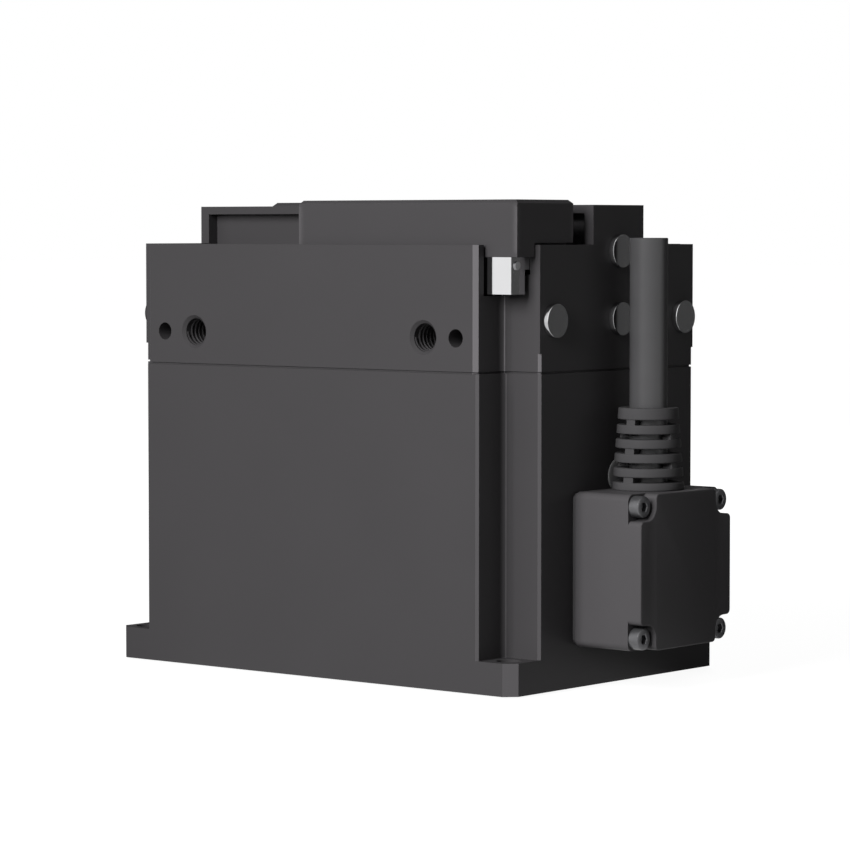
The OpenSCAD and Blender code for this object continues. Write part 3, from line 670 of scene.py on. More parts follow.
def smooth_below(obj: bpy.types.Object, degrees: float = 35.0) -> None:
    """Shades faces smooth and keeps edges sharper than an angle crisp.

    Args:
        obj: the object, changed in place.
        degrees: the angle from which an edge stays crisp.
    """
    mesh = obj.data
    limit = math.radians(degrees)
    bm = bmesh.new()
    bm.from_mesh(mesh)
    for face in bm.faces:
        face.smooth = True
    for edge in bm.edges:
        edge.smooth = len(edge.link_faces) == 2 and edge.calc_face_angle(0.0) < limit
    bm.to_mesh(mesh)
    bm.free()


def put_on(obj: bpy.types.Object, body: Body) -> None:
    """Makes a finished piece ride on a body.

    Args:
        obj: the finished piece.
        body: the body that it rides on.
    """
    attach(obj, body.value)
    LOG.info("%s: %d faces on %s", obj.name, len(obj.data.polygons), body.value)


def turned(name: str, outline: list[tuple[float, ...]], steps: int = 64) -> bpy.types.Object:
    """A solid of revolution about Z, round or with flats.

    Args:
        name: the object's name.
        outline: (radius, height) from the axis round to the axis again. A third number gives that ring
            so many flats, with the radius as the distance to a flat.
        steps: the facets of a full turn.

    Returns:
        The new object at the origin.
    """
    verts: list[Point] = []
    faces: list[tuple[int, ...]] = []
    rings: list[list[int]] = []
    for radius, height, *flats in outline:
        if radius < ON_AXIS:
            rings.append([len(verts)] * steps)
            verts.append((0.0, 0.0, height))
            continue
        rings.append(list(range(len(verts), len(verts) + steps)))
        for i in range(steps):
            a = 2 * math.pi * i / steps
            reach = radius
            if flats:
                half = math.pi / flats[0]
                reach /= math.cos((a + half) % (2 * half) - half)
            verts.append((reach * math.cos(a), reach * math.sin(a), height))
    for low, high in zip(rings, rings[1:], strict=False):
        for i in range(steps):
            j = (i + 1) % steps
            unique = tuple(dict.fromkeys((low[i], low[j], high[j], high[i])))
            if len(unique) > 2:
                faces.append(unique)
    mesh = bpy.data.meshes.new(name)
    mesh.from_pydata(verts, [], faces)
    face_outwards(mesh)
    return placed(name, mesh)


def scattered(
    name: str,
    source: bpy.types.Object,
    spots: list[Spot],
    finish: bpy.types.Material,
) -> bpy.types.Object:
    """Copies a source piece to several places with Geometry Nodes.

    Args:
        name: the new piece's name.
        source: the piece to copy; it is deleted afterwards.
        spots: a place and a turn about X, Y and Z, in radians, for each copy.
        finish: the material of every copy.

    Returns:
        The copies as one plain mesh.
    """
    mesh = bpy.data.meshes.new(name)
    mesh.from_pydata([place for place, _ in spots], [], [])
    turns = mesh.attributes.new("turn", "FLOAT_VECTOR", "POINT")
    for item, (_, turn) in zip(turns.data, spots, strict=True):
        item.vector = turn
    g = Growth(name)
    scale = g.size("scale", 1.0)
    piece = g.node("GeometryNodeObjectInfo", {}, {"Object": source}, out="Geometry")
    turn = g.node(
        "GeometryNodeInputNamedAttribute", {"data_type": "FLOAT_VECTOR"}, {"Name": "turn"}
    )
    copies = g.node(
        "GeometryNodeInstanceOnPoints",
        {},
        {"Points": g.points, "Instance": piece, "Rotation": turn, "Scale": scale},
    )
    obj = g.grow(copies, finish, mesh)
    bpy.data.objects.remove(source)
    smooth_below(obj)
    return obj


def islands(node: str) -> list[tuple[Vector, Vector]]:
    """Finds the separate solids of a CAD node.

    Args:
        node: the CAD node's name.

    Returns:
        The lowest and highest corner of each solid, in the order of their lowest corners.
    """
    bm = bmesh.new()
    bm.from_mesh(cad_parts[node].data)
    bmesh.ops.remove_doubles(bm, verts=bm.verts, dist=MERGE)
    left = set(bm.verts)
    found: list[tuple[Vector, Vector]] = []
    while left:
        stack = [left.pop()]
        group = []
        while stack:
            vert = stack.pop()
            group.append(vert.co.copy())
            near = {edge.other_vert(vert) for edge in vert.link_edges} & left
            left -= near
            stack.extend(near)
        axes = list(zip(*group, strict=True))
        found.append((Vector(map(min, axes)), Vector(map(max, axes))))
    bm.free()
    return sorted(found, key=lambda pair: tuple(round(v, 6) for v in pair[0]))


@dataclass
class Paint:
    """Every finish on the gripper, made once, and the CAD nodes that each one dresses."""

    anodised: bpy.types.Material = field(init=False)
    strong_highlight: bpy.types.Material = field(init=False)
    jaw: bpy.types.Material = field(init=False)
    painted_lift: bpy.types.Material = field(init=False)
    cap: bpy.types.Material = field(init=False)
    steel: bpy.types.Material = field(init=False)
    dull: bpy.types.Material = field(init=False)
    slide: bpy.types.Material = field(init=False)
    screw: bpy.types.Material = field(init=False)
    plug: bpy.types.Material = field(init=False)
    rubber: bpy.types.Material = field(init=False)
    jacket: bpy.types.Material = field(init=False)
    brass: bpy.types.Material = field(init=False)
    copper: bpy.types.Material = field(init=False)
    case: bpy.types.Material = field(init=False)
    board: bpy.types.Material = field(init=False)
    chips: bpy.types.Material = field(init=False)
    cream: bpy.types.Material = field(init=False)

    def __post_init__(self) -> None:
        """Makes the materials."""
        # Painted highlight: every Anodised finish paints its upright chamfers lighter, twice by default
        self.anodised = Anodised().make("black_anodised")
        # Painted highlight, stronger: the rail housing's upright chamfers are painted 3.3 times lighter
        self.strong_highlight = Anodised(cut=3.3).make("black_anodised_strong_highlight")
        # Painted highlight: the jaws' upright edges are painted 1.8 times lighter within 2.2 mm of them
        self.jaw = Anodised(cut=1.8, rim=2.2 * MM).make("black_anodised_jaw")
        self.cap = Moulded((0.13, 0.13, 0.132), 0.5, 0.3).make("cap_nylon")
        # Painted light: the cable box's anodised is a 1.46 times lighter copy of the body's, so its faces
        # look more brightly lit
        self.painted_lift = Anodised(tinted(Anodised.colour, 1.46)).make("black_anodised_painted_lift")
        self.steel = GroundSteel(roughness=0.18).make("ground_steel")
        self.dull = GroundSteel((0.42, 0.42, 0.43), 0.32).make("dull_steel")
        self.slide = GroundSteel(roughness=0.05).make("slide_steel")
        self.screw = BlackOxide().make("black_oxide")
        self.plug = GroundSteel((0.60, 0.60, 0.61), 0.10).make("plug_steel")
        rubber = Moulded((0.043, 0.0420, 0.0435), 0.5, 0.15, edge=0.2 * MM)
        self.rubber = rubber.make("relief_rubber")
        self.jacket = Jacket().make("cable_jacket")
        self.brass = PlainMetal((0.72, 0.50, 0.22)).make("brass")
        self.copper = PlainMetal((0.85, 0.42, 0.26), 0.25).make("copper")
        self.case = PlainMetal((0.07, 0.07, 0.075), 0.4, 0.6).make("motor_case")
        self.board = CircuitBoard().make("circuit_board")
        self.chips = Moulded((0.03, 0.03, 0.032), 0.5, 0.4).make("chip_plastic")
        self.cream = Moulded((0.72, 0.68, 0.58), 0.5, 0.4).make("cream_plastic")

    def dress(self) -> None:
        """Gives every CAD node its material.

        Raises:
            ValueError: a CAD node has no finish.
        """
        plan = {
            self.anodised: "lower_housing bottom_cover",
            self.jaw: "front_jaw rear_jaw",
            self.painted_lift: "cable_box",
            self.strong_highlight: "rail_housing",
            self.slide: "front_slide rear_slide",
            self.steel: "fixed_rails front_rack rear_rack front_rollers rear_rollers pinion drive_shaft"
            " bearing_inner_rings bearing_outer_rings gearhead",
            self.dull: "front_slide_stop rear_slide_stop",
            self.screw: "bottom_cover_screws housing_screws fixed_rail_screws front_jaw_screws"
            " front_rack_screws rear_jaw_screws rear_rack_screws gearhead_screws board_screws"
            " cable_box_screws",
            self.plug: "end_plugs",
            self.rubber: "cable_box_gasket strain_relief",
            self.jacket: "cable",
            self.brass: "front_roller_cages rear_roller_cages board_standoffs",
            self.case: "motor",
            self.board: "controller_board",
            self.chips: "board_components",
            self.cream: "motor_connector",
        }
        left = set(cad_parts)
        for material, names in plan.items():
            for name in names.split():
                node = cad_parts[name]
                for slot in node.material_slots:
                    slot.material = material
                left.discard(name)
        if left:
            raise ValueError(f"no finish for {sorted(left)}")


@dataclass
class Cable:
    """The cable from its box to its cut end, with the cores that show in the cut.

    The radii of the cores and of their ring are shares of the jacket's inner radius. The cores' length and
    the depth of their middle are shares of the cut's depth.
    """

    axis: Pair = (54.2 * MM, 0.0)
    radius: float = 3.4 * MM
    foot: float = 34.9 * MM
    top: float = 79.6 * MM
    points: int = 16
    cut_depth: float = 0.5 * MM
    jacket_wall: float = 0.8 * MM
    soft: float = 0.12 * MM
    cores: int = 7
    core_facets: int = 20
    core_share: float = 0.30
    ring_share: float = 0.64
    core_length: float = 0.8
    core_depth: float = 0.62

    def build(self, paint: Paint, relief: bpy.types.Object) -> None:
        """Args:
            paint: the finishes.
            relief: the strain relief that holds the cable; not used.
        """
        inner = self.radius - self.jacket_wall
        step = (self.top - self.foot) / (self.points - 1)
        heights = [self.foot + i * step for i in range(self.points)]
        outline = [(0.0, self.foot), (self.radius, self.foot)]
        outline += [(self.radius, z) for z in heights[1:-1]]
        outline += [
            (self.radius, self.top - self.soft),
            (self.radius - self.soft, self.top),
            (inner, self.top),
            (inner, self.top - self.cut_depth),
            (0.0, self.top - self.cut_depth),
        ]
        jacket = turned("cable_sheath", outline)
        jacket.data.transform(Matrix.Translation((*self.axis, 0)))
        jacket.data.materials.append(paint.jacket)
        smooth_below(jacket)
        cores = self._cores(inner, paint)
        put_on(jacket, Body.HOUSING)
        put_on(cores, Body.HOUSING)
        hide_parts("cable")

    def _cores(self, inner: float, paint: Paint) -> bpy.types.Object:
        """Grows the copper cores that stand in the cut end.

        Args:
            inner: the jacket's inner radius.
            paint: the finishes.

        Returns:
            The cores, one in the middle and a ring round it.
        """
        g = Growth("cable_cores")
        radius = g.size("core_radius", inner * self.core_share)
        ring = g.size("ring_radius", inner * self.ring_share)
        length = g.size("length", self.cut_depth * self.core_length)
        core = g.node(
            "GeometryNodeMeshCylinder",
            {"fill_type": "NGON"},
            {"Vertices": self.core_facets, "Radius": radius, "Depth": length},
        )
        circle = g.node(
            "GeometryNodeMeshCircle",
            {"fill_type": "NONE"},
            {"Vertices": self.cores - 1, "Radius": ring},
        )
        round_it = g.node("GeometryNodeInstanceOnPoints", {}, {"Points": circle, "Instance": core})
        height = self.top - self.cut_depth * self.core_depth
        shape = g.moved(g.joined(round_it, core), shift=(*self.axis, height))
        return g.grow(shape, paint.copper)


@dataclass
class StrainRelief:
    """The ribbed rubber sleeve over the cable: six rings with soft edges and bars in the slots between."""

    slots: int = 5
    slot: float = 0.95 * MM
    pitch: float = 2.55 * MM
    top_ring: float = 2.05 * MM
    top_radius: float = 5.35 * MM
    bore: float = 3.48 * MM
    bar: float = 2.3 * MM
    soft: float = 0.22 * MM
    facets: int = 72
    edge_steps: int = 4
    bar_steps: int = 8
    crease: float = 50.0

    def build(self, paint: Paint) -> bpy.types.Object:
        """Grows the rings and bars and narrows them towards the top.

        Args:
            paint: the finishes.

        Returns:
            The finished sleeve.
        """
        low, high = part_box("strain_relief")
        foot_radius = (high.x - low.x) / 2
        g = Growth("strain_relief_rings")
        slot = g.size("slot", self.slot)
        pitch = g.size("pitch", self.pitch)
        soft = g.size("edge_radius", self.soft)
        wall = foot_radius - self.bore
        middle = self.bore + wall / 2
        tall = high.z - low.z
        foot = tall - self.top_ring - self.slots * self.pitch + (self.pitch - self.slot)
        rings = [
            g.moved(self._ring(g, middle, wall, foot, soft), shift=(0, 0, foot / 2)),
            g.moved(
                self._ring(g, middle, wall, self.top_ring, soft),
                shift=(0, 0, tall - self.top_ring / 2),
            ),
        ]
        rib = self.pitch - self.slot
        line = self._column(g, self.slots - 1, foot + self.slot + rib / 2, pitch)
        shape = self._ring(g, middle, wall, rib, soft)
        rings.append(g.node("GeometryNodeInstanceOnPoints", {}, {"Points": line, "Instance": shape}))
        rings.append(self._bars(g, middle, wall, foot + self.slot / 2, slot, pitch))
        whole = g.node("GeometryNodeRealizeInstances", {}, {0: g.joined(*rings)})
        narrowed = self._narrowed(g, whole, foot_radius, tall)
        centre = ((low.x + high.x) / 2, (low.y + high.y) / 2, low.z)
        sleeve = g.grow(g.moved(narrowed, shift=centre), paint.rubber)
        smooth_below(sleeve, self.crease)
        put_on(sleeve, Body.HOUSING)
        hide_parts("strain_relief")
        return sleeve

    def _ring(self, g: Growth, middle: float, wall: float, height: float, soft: Wire) -> Wire:
        """Makes a ring with a rounded section.

        Args:
            g: the sleeve's tree.
            middle: the radius of the middle of its wall.
            wall: its wall.
            height: its height.
            soft: the radius of its edges.

        Returns:
            The ring, centred on its own middle.
        """
        path = g.node(
            "GeometryNodeCurvePrimitiveCircle",
            {},
            {"Resolution": self.facets, "Radius": middle},
            out="Curve",
        )
        section = g.node(
            "GeometryNodeCurvePrimitiveQuadrilateral", {}, {"Width": wall, "Height": height}
        )
        rounded = g.node(
            "GeometryNodeFilletCurve",
            {"mode": "POLY"},
            {"Curve": section, "Count": self.edge_steps, "Radius": soft},
        )
        return g.node(
            "GeometryNodeCurveToMesh", {}, {"Curve": path, "Profile Curve": rounded, "Fill Caps": False}
        )

    @staticmethod
    def _column(g: Growth, count: int, start: float, pitch: Wire) -> Wire:
        """A column of points up the axis, a pitch apart."""
        return g.node(
            "GeometryNodeMeshLine",
            {"mode": "OFFSET"},
            {"Count": count, "Start Location": (0, 0, start), "Offset": g.vector(z=pitch)},
        )

    def _bars(
        self, g: Growth, middle: float, wall: float, start: float, slot: Wire, pitch: Wire
    ) -> Wire:
        """Puts two bars in every slot, turned a quarter from slot to slot.

        Args:
            g: the sleeve's tree.
            middle: the radius of the middle of the wall.
            wall: the wall.
            start: the lowest slot's middle height.
            slot: a slot's height.
            pitch: the step from slot to slot.

        Returns:
            The bars of every slot.
        """
        sweep = self.bar / (middle + wall / 2)
        arc = g.node(
            "GeometryNodeCurveArc",
            {"mode": "RADIUS"},
            {
                "Resolution": self.bar_steps,
                "Radius": middle,
                "Start Angle": -sweep / 2,
                "Sweep Angle": sweep,
            },
        )
        section = g.node(
            "GeometryNodeCurvePrimitiveQuadrilateral",
            {},
            {"Width": wall - 2 * self.soft, "Height": slot + 2 * self.soft},
        )
        bar = g.node(
            "GeometryNodeCurveToMesh", {}, {"Curve": arc, "Profile Curve": section, "Fill Caps": True}
        )
        pair = g.joined(bar, g.moved(bar, turn=(0, 0, math.pi)))
        index = g.node("GeometryNodeInputIndex")
        quarter = (index + 1) * (math.pi / 2)
        return g.node(
            "GeometryNodeInstanceOnPoints",
            {},
            {
                "Points": self._column(g, self.slots, start, pitch),
                "Instance": pair,
                "Rotation": g.vector(z=quarter),
            },
        )

    def _narrowed(self, g: Growth, shape: Wire, foot_radius: float, tall: float) -> Wire:
        """Draws the sleeve in towards its top and leaves its bore as it is.

        Args:
            g: the sleeve's tree.
            shape: the rings and bars.
            foot_radius: the outer radius at the foot.
            tall: the sleeve's height.

        Returns:
            The narrowed sleeve.
        """
        place = g.node("GeometryNodeInputPosition")
        reach = g.vector_math("LENGTH", g.vector_math("MULTIPLY", place, (1, 1, 0)))
        height = g.node("ShaderNodeSeparateXYZ", {}, {0: place}, out="Z")
        least = (self.top_radius - self.bore) / (foot_radius - self.bore)
        share = 1.0 - (height / tall) * (1.0 - least)
        wanted = (reach - self.bore) * share + self.bore
        factor = wanted / reach
        moved = g.vector_math("MULTIPLY", place, g.vector(factor, factor, 1.0))
        return g.node("GeometryNodeSetPosition", {}, {"Geometry": shape, "Position": moved})


@dataclass
class CableBox:
    """The cable box with its softened edges, and the four cap screws in its corner recesses."""

    corner: float = 1.3 * MM
    mouth: float = 0.9 * MM
    recess: float = 2.5 * MM
    seat_depth: float = 2.8 * MM
    back_edge: float = 0.3 * MM
    front_edge: float = 0.18 * MM
    head_radius: float = 1.9 * MM
    head_height: float = 2.0 * MM
    shank_radius: float = 1.0 * MM
    socket: float = 0.75 * MM
    socket_depth: float = 1.0 * MM
    socket_cone: float = 0.3 * MM
    edge: float = 0.16 * MM
    facets: int = 48
    crease: float = 40.0

    def build(self, paint: Paint) -> None:
        """Builds the box and its screws."""
        self._box(paint)
        self._screws(paint)

    def _box(self, paint: Paint) -> None:
        """Joins the box's back part and its front part, which has the recesses.

        Args:
            paint: the finishes.
        """
        low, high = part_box("cable_box")
        seat = high.x - self.seat_depth
        centre = ((low.y + high.y) / 2, (low.z + high.z) / 2)
        half = ((high.y - low.y) / 2, (high.z - low.z) / 2)
        screw = islands("cable_box_screws")[-1]
        at = tuple((screw[0][i + 1] + screw[1][i + 1]) / 2 - centre[i] for i in (0, 1))
        plain, notched = self._plain(half), self._notched(half, at)
        back = self._slab("cable_box_back", plain, centre, (low.x, seat), self.back_edge, 0)
        front = self._slab("cable_box_front", notched, centre, (seat, high.x), self.front_edge, 1)
        union = back.modifiers.new("union", "BOOLEAN")
        union.operation = "UNION"
        union.solver = "EXACT"
        union.object = front
        mesh = settled(back)
        back.name = "cable_box_body"
        bpy.data.objects.remove(front)
        smooth_below(back, self.crease)
        mesh.materials.clear()
        mesh.materials.append(paint.painted_lift)
        put_on(back, Body.HOUSING)
        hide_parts("cable_box")

    @staticmethod
    def _arc(centre: Pair, radius: float, start: float, end: float, steps: int = 8) -> list[Pair]:
        """Points along an arc, its angles in degrees."""
        turns = [math.radians(start + (end - start) * i / steps) for i in range(steps + 1)]
        return [(centre[0] + radius * math.cos(a), centre[1] + radius * math.sin(a)) for a in turns]

    def _plain(self, half: Pair) -> list[Pair]:
        """One quarter of the rounded rectangle, from its side to its top."""
        y, z, r = *half, self.corner
        return self._arc((y - r, z - r), r, 0, 90)

    def _notched(self, half: Pair, at: Pair) -> list[Pair]:
        """Draws one quarter of the outline with its screw recess.

        Args:
            half: half the box's width and height.
            at: the screw's place from the box's centre.

        Returns:
            The points, from the side to the top.
        """
        y, z = half
        r, m = self.recess, self.mouth
        return [
            *self._arc((y - m, at[1] - r - m), m, 0, 90),
            *self._arc(at, r, 270, 180),
            *self._arc((at[0] - r - m, z - m), m, 0, 90),
        ]

    @staticmethod
    def _slab(
        name: str,
        quarter: list[Pair],
        centre: Pair,
        span: Pair,
        edge: float,
        end: int,
    ) -> bpy.types.Object:
        """A closed slab across X whose outline is one quarter, mirrored twice.

        Args:
            name: the object's name.
            quarter: the outline's points from the +Y side to the top.
            centre: the outline's centre in Y and Z.
            span: the slab's lowest and highest X.
            edge: the rounding of one end's edge.
            end: 0 rounds the low end and 1 the high end.

        Returns:
            The new object.
        """
        outline = list(quarter)
        outline += [(-y, z) for y, z in reversed(quarter)]
        outline += [(-y, -z) for y, z in quarter]
        outline += [(y, -z) for y, z in reversed(quarter)]
        bm = bmesh.new()
        rings = [
            [bm.verts.new((x, centre[0] + y, centre[1] + z)) for y, z in outline] for x in span
        ]
        for ring in rings:
            bm.faces.new(ring)
        for i, vert in enumerate(rings[0]):
            j = (i + 1) % len(outline)
            bm.faces.new((vert, rings[0][j], rings[1][j], rings[1][i]))
        bmesh.ops.recalc_face_normals(bm, faces=bm.faces)
        chosen = set(rings[end])
        rim = [e for e in bm.edges if e.verts[0] in chosen and e.verts[1] in chosen]
        bmesh.ops.bevel(bm, geom=rim, offset=edge, segments=4, profile=0.5, affect="EDGES")
        mesh = bpy.data.meshes.new(name)
        bm.to_mesh(mesh)
        bm.free()
        return placed(name, mesh)

    def _screws(self, paint: Paint) -> None:
        """Turns one screw and copies it to the places of the CAD's screws.

        Args:
            paint: the finishes.
        """
        spots = []
        shank = 0.0
        for low, high in islands("cable_box_screws"):
            centre = (low + high) / 2
            shank = high.x - low.x - self.head_height
            spots.append(((high.x - self.head_height, centre.y, centre.z), (0, math.pi / 2, 0)))
        r, h, e = self.head_radius, self.head_height, self.edge
        rounding = [
            (r - e + e * math.sin(a), h - e + e * math.cos(a))
            for a in (math.pi / 2, math.pi / 3, math.pi / 6, 0.0)
        ]
        outline = [
            (0.0, -shank),
            (self.shank_radius, -shank),
            (self.shank_radius, 0.0),
            (r, 0.0),
            *rounding,
            (self.socket + e / 2, h, 6),
            (self.socket, h - e / 2, 6),
            (self.socket, h - self.socket_depth, 6),
            (0.0, h - self.socket_depth - self.socket_cone),
        ]
        source = turned("cap_screw", outline, self.facets)
        screws = scattered("cable_box_cap_screws", source, spots, paint.screw)
        put_on(screws, Body.HOUSING)
        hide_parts("cable_box_screws")


@dataclass
class EndPlugs:
    """The plugs of the cross bores in both end faces: tall polished ones and low domed caps.

    A rim step is a place on the tall plugs' soft rim, as shares of its radius inwards and downwards. The
    last step lies on the face and keeps it flat under smooth shading. A dome step is an angle in degrees.
    """

    stem_radius: float = 1.77 * MM
    stem: float = 2.3 * MM
    rim: float = 0.10 * MM
    rim_steps: tuple[Pair, ...] = ((0.0, 1.0), (0.3, 0.3), (1.0, 0.0), (1.3, 0.0))
    dome_steps: tuple[float, ...] = (15.0, 30.0, 45.0, 60.0, 75.0)
    low_limit: float = 0.5 * MM
    facets: int = 96

    def build(self, paint: Paint) -> None:
        """Turns a tall and a low plug and copies them to the CAD's plugs.

        Args:
            paint: the finishes.
        """
        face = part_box("lower_housing")[1].x
        groups: dict[bool, list[Spot]] = {True: [], False: []}
        heights: dict[bool, float] = {}
        radius = 0.0
        for low, high in islands("end_plugs"):
            centre = (low + high) / 2
            end = math.copysign(1.0, centre.x)
            height = max(high.x, -low.x) - face
            tall = height > self.low_limit
            heights[tall] = height
            radius = (high.y - low.y) / 2
            groups[tall].append(((end * face, centre.y, centre.z), (0, end * math.pi / 2, 0)))
        made = []
        for tall, spots in groups.items():
            name, finish = ("tall_end_plugs", paint.plug) if tall else ("low_end_plugs", paint.cap)
            outline = self._outline(radius, heights[tall], tall)
            source = turned(f"{name}_source", outline, self.facets)
            made.append(scattered(name, source, spots, finish))
            put_on(made[-1], Body.HOUSING)
        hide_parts("end_plugs")

    def _outline(self, radius: float, height: float, tall: bool) -> list[Pair]:
        """Draws half the section of a plug.

        Args:
            radius: its radius outside the bore.
            height: how far it stands out of the end face.
            tall: whether its face is flat with a soft rim, or a dome.

        Returns:
            (radius, height) from the middle of its stem's end to the middle of its face.
        """
        outline = [(0.0, -self.stem), (self.stem_radius, -self.stem)]
        outline += [(self.stem_radius, 0.0), (radius, 0.0)]
        if tall:
            outline += [(radius - self.rim * x, height - self.rim * z) for x, z in self.rim_steps]
        else:
            bow = [math.radians(degrees) for degrees in self.dome_steps]
            outline += [(radius * math.cos(a), height * math.sin(a)) for a in bow]
        return [*outline, (0.0, height)]


@dataclass
class SideThreads:
    """The thread turns that show in the four tapped holes of the long sides."""

    spacing: float = 55.2 * MM
    height: float = 62.1 * MM
    bore: float = 2.5 * MM
    pitch: float = 1.0 * MM
    turns: float = 5.5
    start: float = 1.0 * MM
    depth: float = 0.22 * MM
    steps: int = 32
    sides: int = 4

    def build(self, paint: Paint) -> None:
        """Grows one thread ridge and copies it into each hole.

        Args:
            paint: the finishes.
        """
        g = Growth("thread_source")
        rotations = g.size("turns", self.turns)
        pitch = g.size("pitch", self.pitch)
        path = g.node(
            "GeometryNodeCurveSpiral",
            {},
            {
                "Resolution": self.steps,
                "Rotations": rotations,
                "Start Radius": self.bore,
                "End Radius": self.bore,
                "Height": rotations * pitch,
            },
        )
        section = g.node(
            "GeometryNodeCurvePrimitiveCircle",
            {},
            {"Resolution": self.sides, "Radius": self.depth},
            out="Curve",
        )
        ridge = g.node(
            "GeometryNodeCurveToMesh", {}, {"Curve": path, "Profile Curve": section, "Fill Caps": True}
        )
        down = -self.start - self.turns * self.pitch
        source = g.grow(g.moved(ridge, shift=(0, 0, down)), paint.anodised)
        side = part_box("lower_housing")[1].y
        spots = [
            ((sx * self.spacing / 2, sy * side, self.height), (-sy * math.pi / 2, 0, 0))
            for sx in (-1, 1)
            for sy in (-1, 1)
        ]
        threads = scattered("side_threads", source, spots, paint.anodised)
        put_on(threads, Body.HOUSING)


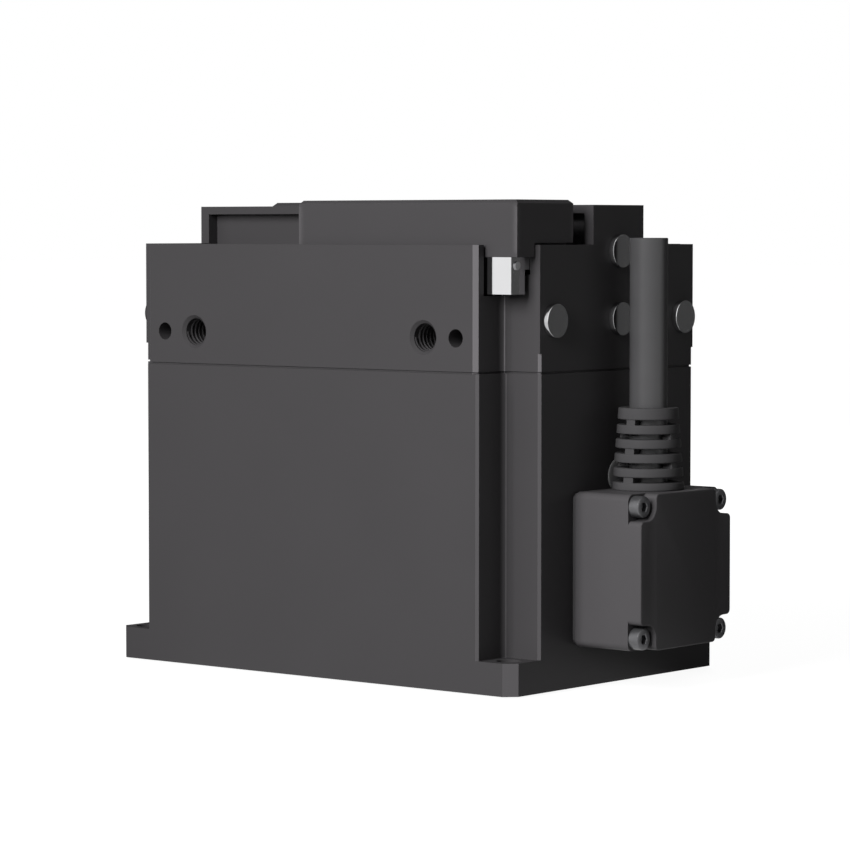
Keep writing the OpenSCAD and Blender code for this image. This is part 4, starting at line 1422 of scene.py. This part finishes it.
@dataclass
class Studio:
    """Floor, backdrop, lamps and camera.

    The backdrop's open side is white and lights the object. A flag darkens its other side, and a bright
    strip stands where only polished faces mirror it.
    """

    camera_at: Point = (0.42808, -0.51454, 0.08142)
    camera_tilt: float = 86.836
    camera_turn: float = 39.588
    lens: float = 151.27
    sensor: float = 36.0
    clip: Pair = (0.01, 50.0)
    key_azimuth: float = -84.0
    key_height: float = 27.0
    key_distance: float = 0.60
    key_power: float = 7.9
    key_aim: Point = (0.42, 0.0, 0.045)
    back_at: Point = (-0.30, 0.52, 0.42)
    back_power: float = 4.0
    back_aim: Point = (0.0, 0.0, 0.045)
    lamp_size: float = 0.32
    open_side: Point = (0.4695, -0.8829, 0.0)
    open_rise: Pair = (0.0, 0.35)
    strip_side: Point = (0.9063, 0.4226, 0.0)
    strip_rise: Pair = (0.93, 0.985)
    strip_power: float = 2.0
    flagged: float = 0.07
    fill: float = 0.07
    floor_half: float = 6.0
    floor_drop: float = 0.3 * MM
    floor_grey: float = 0.15
    floor_tone: float = 0.85
    floor_reach: Pair = (0.1, 0.8)
    shadow_grey: float = 0.10
    glow_tone: float = 0.94
    glow_reach: Pair = (0.12, 0.5)

    def build(self) -> None:
        """Sets the whole studio up."""
        self._world()
        self._floor()
        azimuth, height = math.radians(self.key_azimuth), math.radians(self.key_height)
        flat = self.key_distance * math.cos(height)
        rise = self.key_distance * math.sin(height)
        key_at = (flat * math.cos(azimuth), flat * math.sin(azimuth), rise)
        self._lamp("key", key_at, self.key_aim, self.key_power)
        self._lamp("back", self.back_at, self.back_aim, self.back_power)
        self._camera()

    @staticmethod
    def _rays(tree: Tree) -> tuple[Wire, Wire]:
        """Tells apart the rays that see the backdrop.

        Light that a matte face would take from a mirror face is left out of the second mask.

        Args:
            tree: the world's or the floor's tree.

        Returns:
            1 for camera rays, and 1 for rays that see the backdrop in metal or through glass.
        """
        camera = tree.node("ShaderNodeLightPath", out="Is Camera Ray")
        glossy = camera.other("Is Glossy Ray")
        through = camera.other("Is Transmission Ray")
        scattered_before = camera.other("Diffuse Depth") > 0.5
        return camera, (glossy + through).clamped() * (1.0 - scattered_before)

    def _open(self, tree: Tree, way: Wire) -> Wire:
        """1 on the studio's open, white side and low behind the flag on its other side."""
        return self._side(tree, way, self.open_side).ramp(*self.open_rise, self.flagged, 1.0)

    @staticmethod
    def _side(tree: Tree, way: Wire, side: Point) -> Wire:
        """How nearly a way points to a side: 1 straight at it and 0 square to it."""
        return tree.vector_math("DOT_PRODUCT", tree.vector_math("NORMALIZE", way), side)

    @staticmethod
    def _matte(sh: Shader, grey: float) -> Wire:
        """A diffuse shader of one grey."""
        return sh.node("ShaderNodeBsdfDiffuse", {}, {"Color": (grey, grey, grey, 1)})

    @staticmethod
    def _glow(sh: Shader, strength: Wire) -> Wire:
        """A shader that gives off white light."""
        return sh.node("ShaderNodeEmission", {}, {"Color": WHITE, "Strength": strength})

    def _world(self) -> None:
        """A white backdrop that lights the object from its open side."""
        world = bpy.data.worlds.new("studio")
        bpy.context.scene.world = world
        world.use_nodes = True
        world.node_tree.nodes.clear()
        tree = Tree(world.node_tree)
        camera, mirrored = self._rays(tree)
        way = tree.node("ShaderNodeTexCoord", out="Generated")
        opened = self._open(tree, way)
        strip = self._side(tree, way, self.strip_side).ramp(*self.strip_rise) * self.strip_power
        strength = (camera + mirrored * opened + self.fill * opened).clamped() + mirrored * strip
        light = tree.node("ShaderNodeBackground", {}, {"Color": WHITE, "Strength": strength})
        tree.node("ShaderNodeOutputWorld", {}, {"Surface": light})

    def _floor(self) -> None:
        """A pale floor that reads as the backdrop and keeps the object's shadow."""
        half, low = self.floor_half, -self.floor_drop
        corners = [(-half, -half, low), (half, -half, low), (half, half, low), (-half, half, low)]
        mesh = bpy.data.meshes.new("floor")
        mesh.from_pydata(corners, [], [(0, 1, 2, 3)])
        floor = placed("floor", mesh)
        sh = Shader("floor_paint")
        camera, mirrored = self._rays(sh)
        way = sh.place((1, 1, 0))
        reach = sh.vector_math("LENGTH", way)
        matte = self._matte(sh, self.floor_grey)
        tone = reach.ramp(*self.floor_reach, self.floor_tone, 1.0) * self._open(sh, way)
        mirror = self._glow(sh, tone)
        unseen = sh.node("ShaderNodeMixShader", {}, {0: mirrored, 1: matte, 2: mirror})
        glow = self._glow(sh, reach.ramp(*self.glow_reach, self.glow_tone, 1.0))
        shade = self._matte(sh, self.shadow_grey)
        shown = sh.node("ShaderNodeAddShader", {}, {0: glow, 1: shade})
        mixed = sh.node("ShaderNodeMixShader", {}, {0: camera, 1: unseen, 2: shown})
        sh.node("ShaderNodeOutputMaterial", {}, {"Surface": mixed})
        mesh.materials.append(sh.material)

    def _lamp(self, name: str, at: Point, target: Point, power: float) -> None:
        """Adds a square soft box that mirrors don't show.

        Args:
            name: its name.
            at: its place.
            target: the place that it faces.
            power: its power in watts.
        """
        data = bpy.data.lights.new(name, "AREA")
        data.size = self.lamp_size
        data.energy = power
        lamp = placed(name, data)
        lamp.visible_glossy = False
        lamp.location = at
        lamp.rotation_euler = (Vector(target) - Vector(at)).to_track_quat("-Z", "Y").to_euler()

    def _camera(self) -> None:
        """The camera at its measured place."""
        data = bpy.data.cameras.new("camera")
        data.sensor_width = self.sensor
        data.lens = self.lens
        data.clip_start, data.clip_end = self.clip
        camera = placed("camera", data)
        camera.location = self.camera_at
        camera.rotation_euler = (math.radians(self.camera_tilt), 0.0, math.radians(self.camera_turn))
        bpy.context.scene.camera = camera


def main() -> None:
    """Builds the studio, the finishes and every piece in order."""
    logging.basicConfig(level=logging.INFO, format="%(message)s")
    bpy.context.scene.view_settings.view_transform = "Standard"
    Studio().build()
    paint = Paint()
    paint.dress()
    Cable().build(paint, StrainRelief().build(paint))
    CableBox().build(paint)
    EndPlugs().build(paint)
    SideThreads().build(paint)


if __name__ == "__main__":
    main()
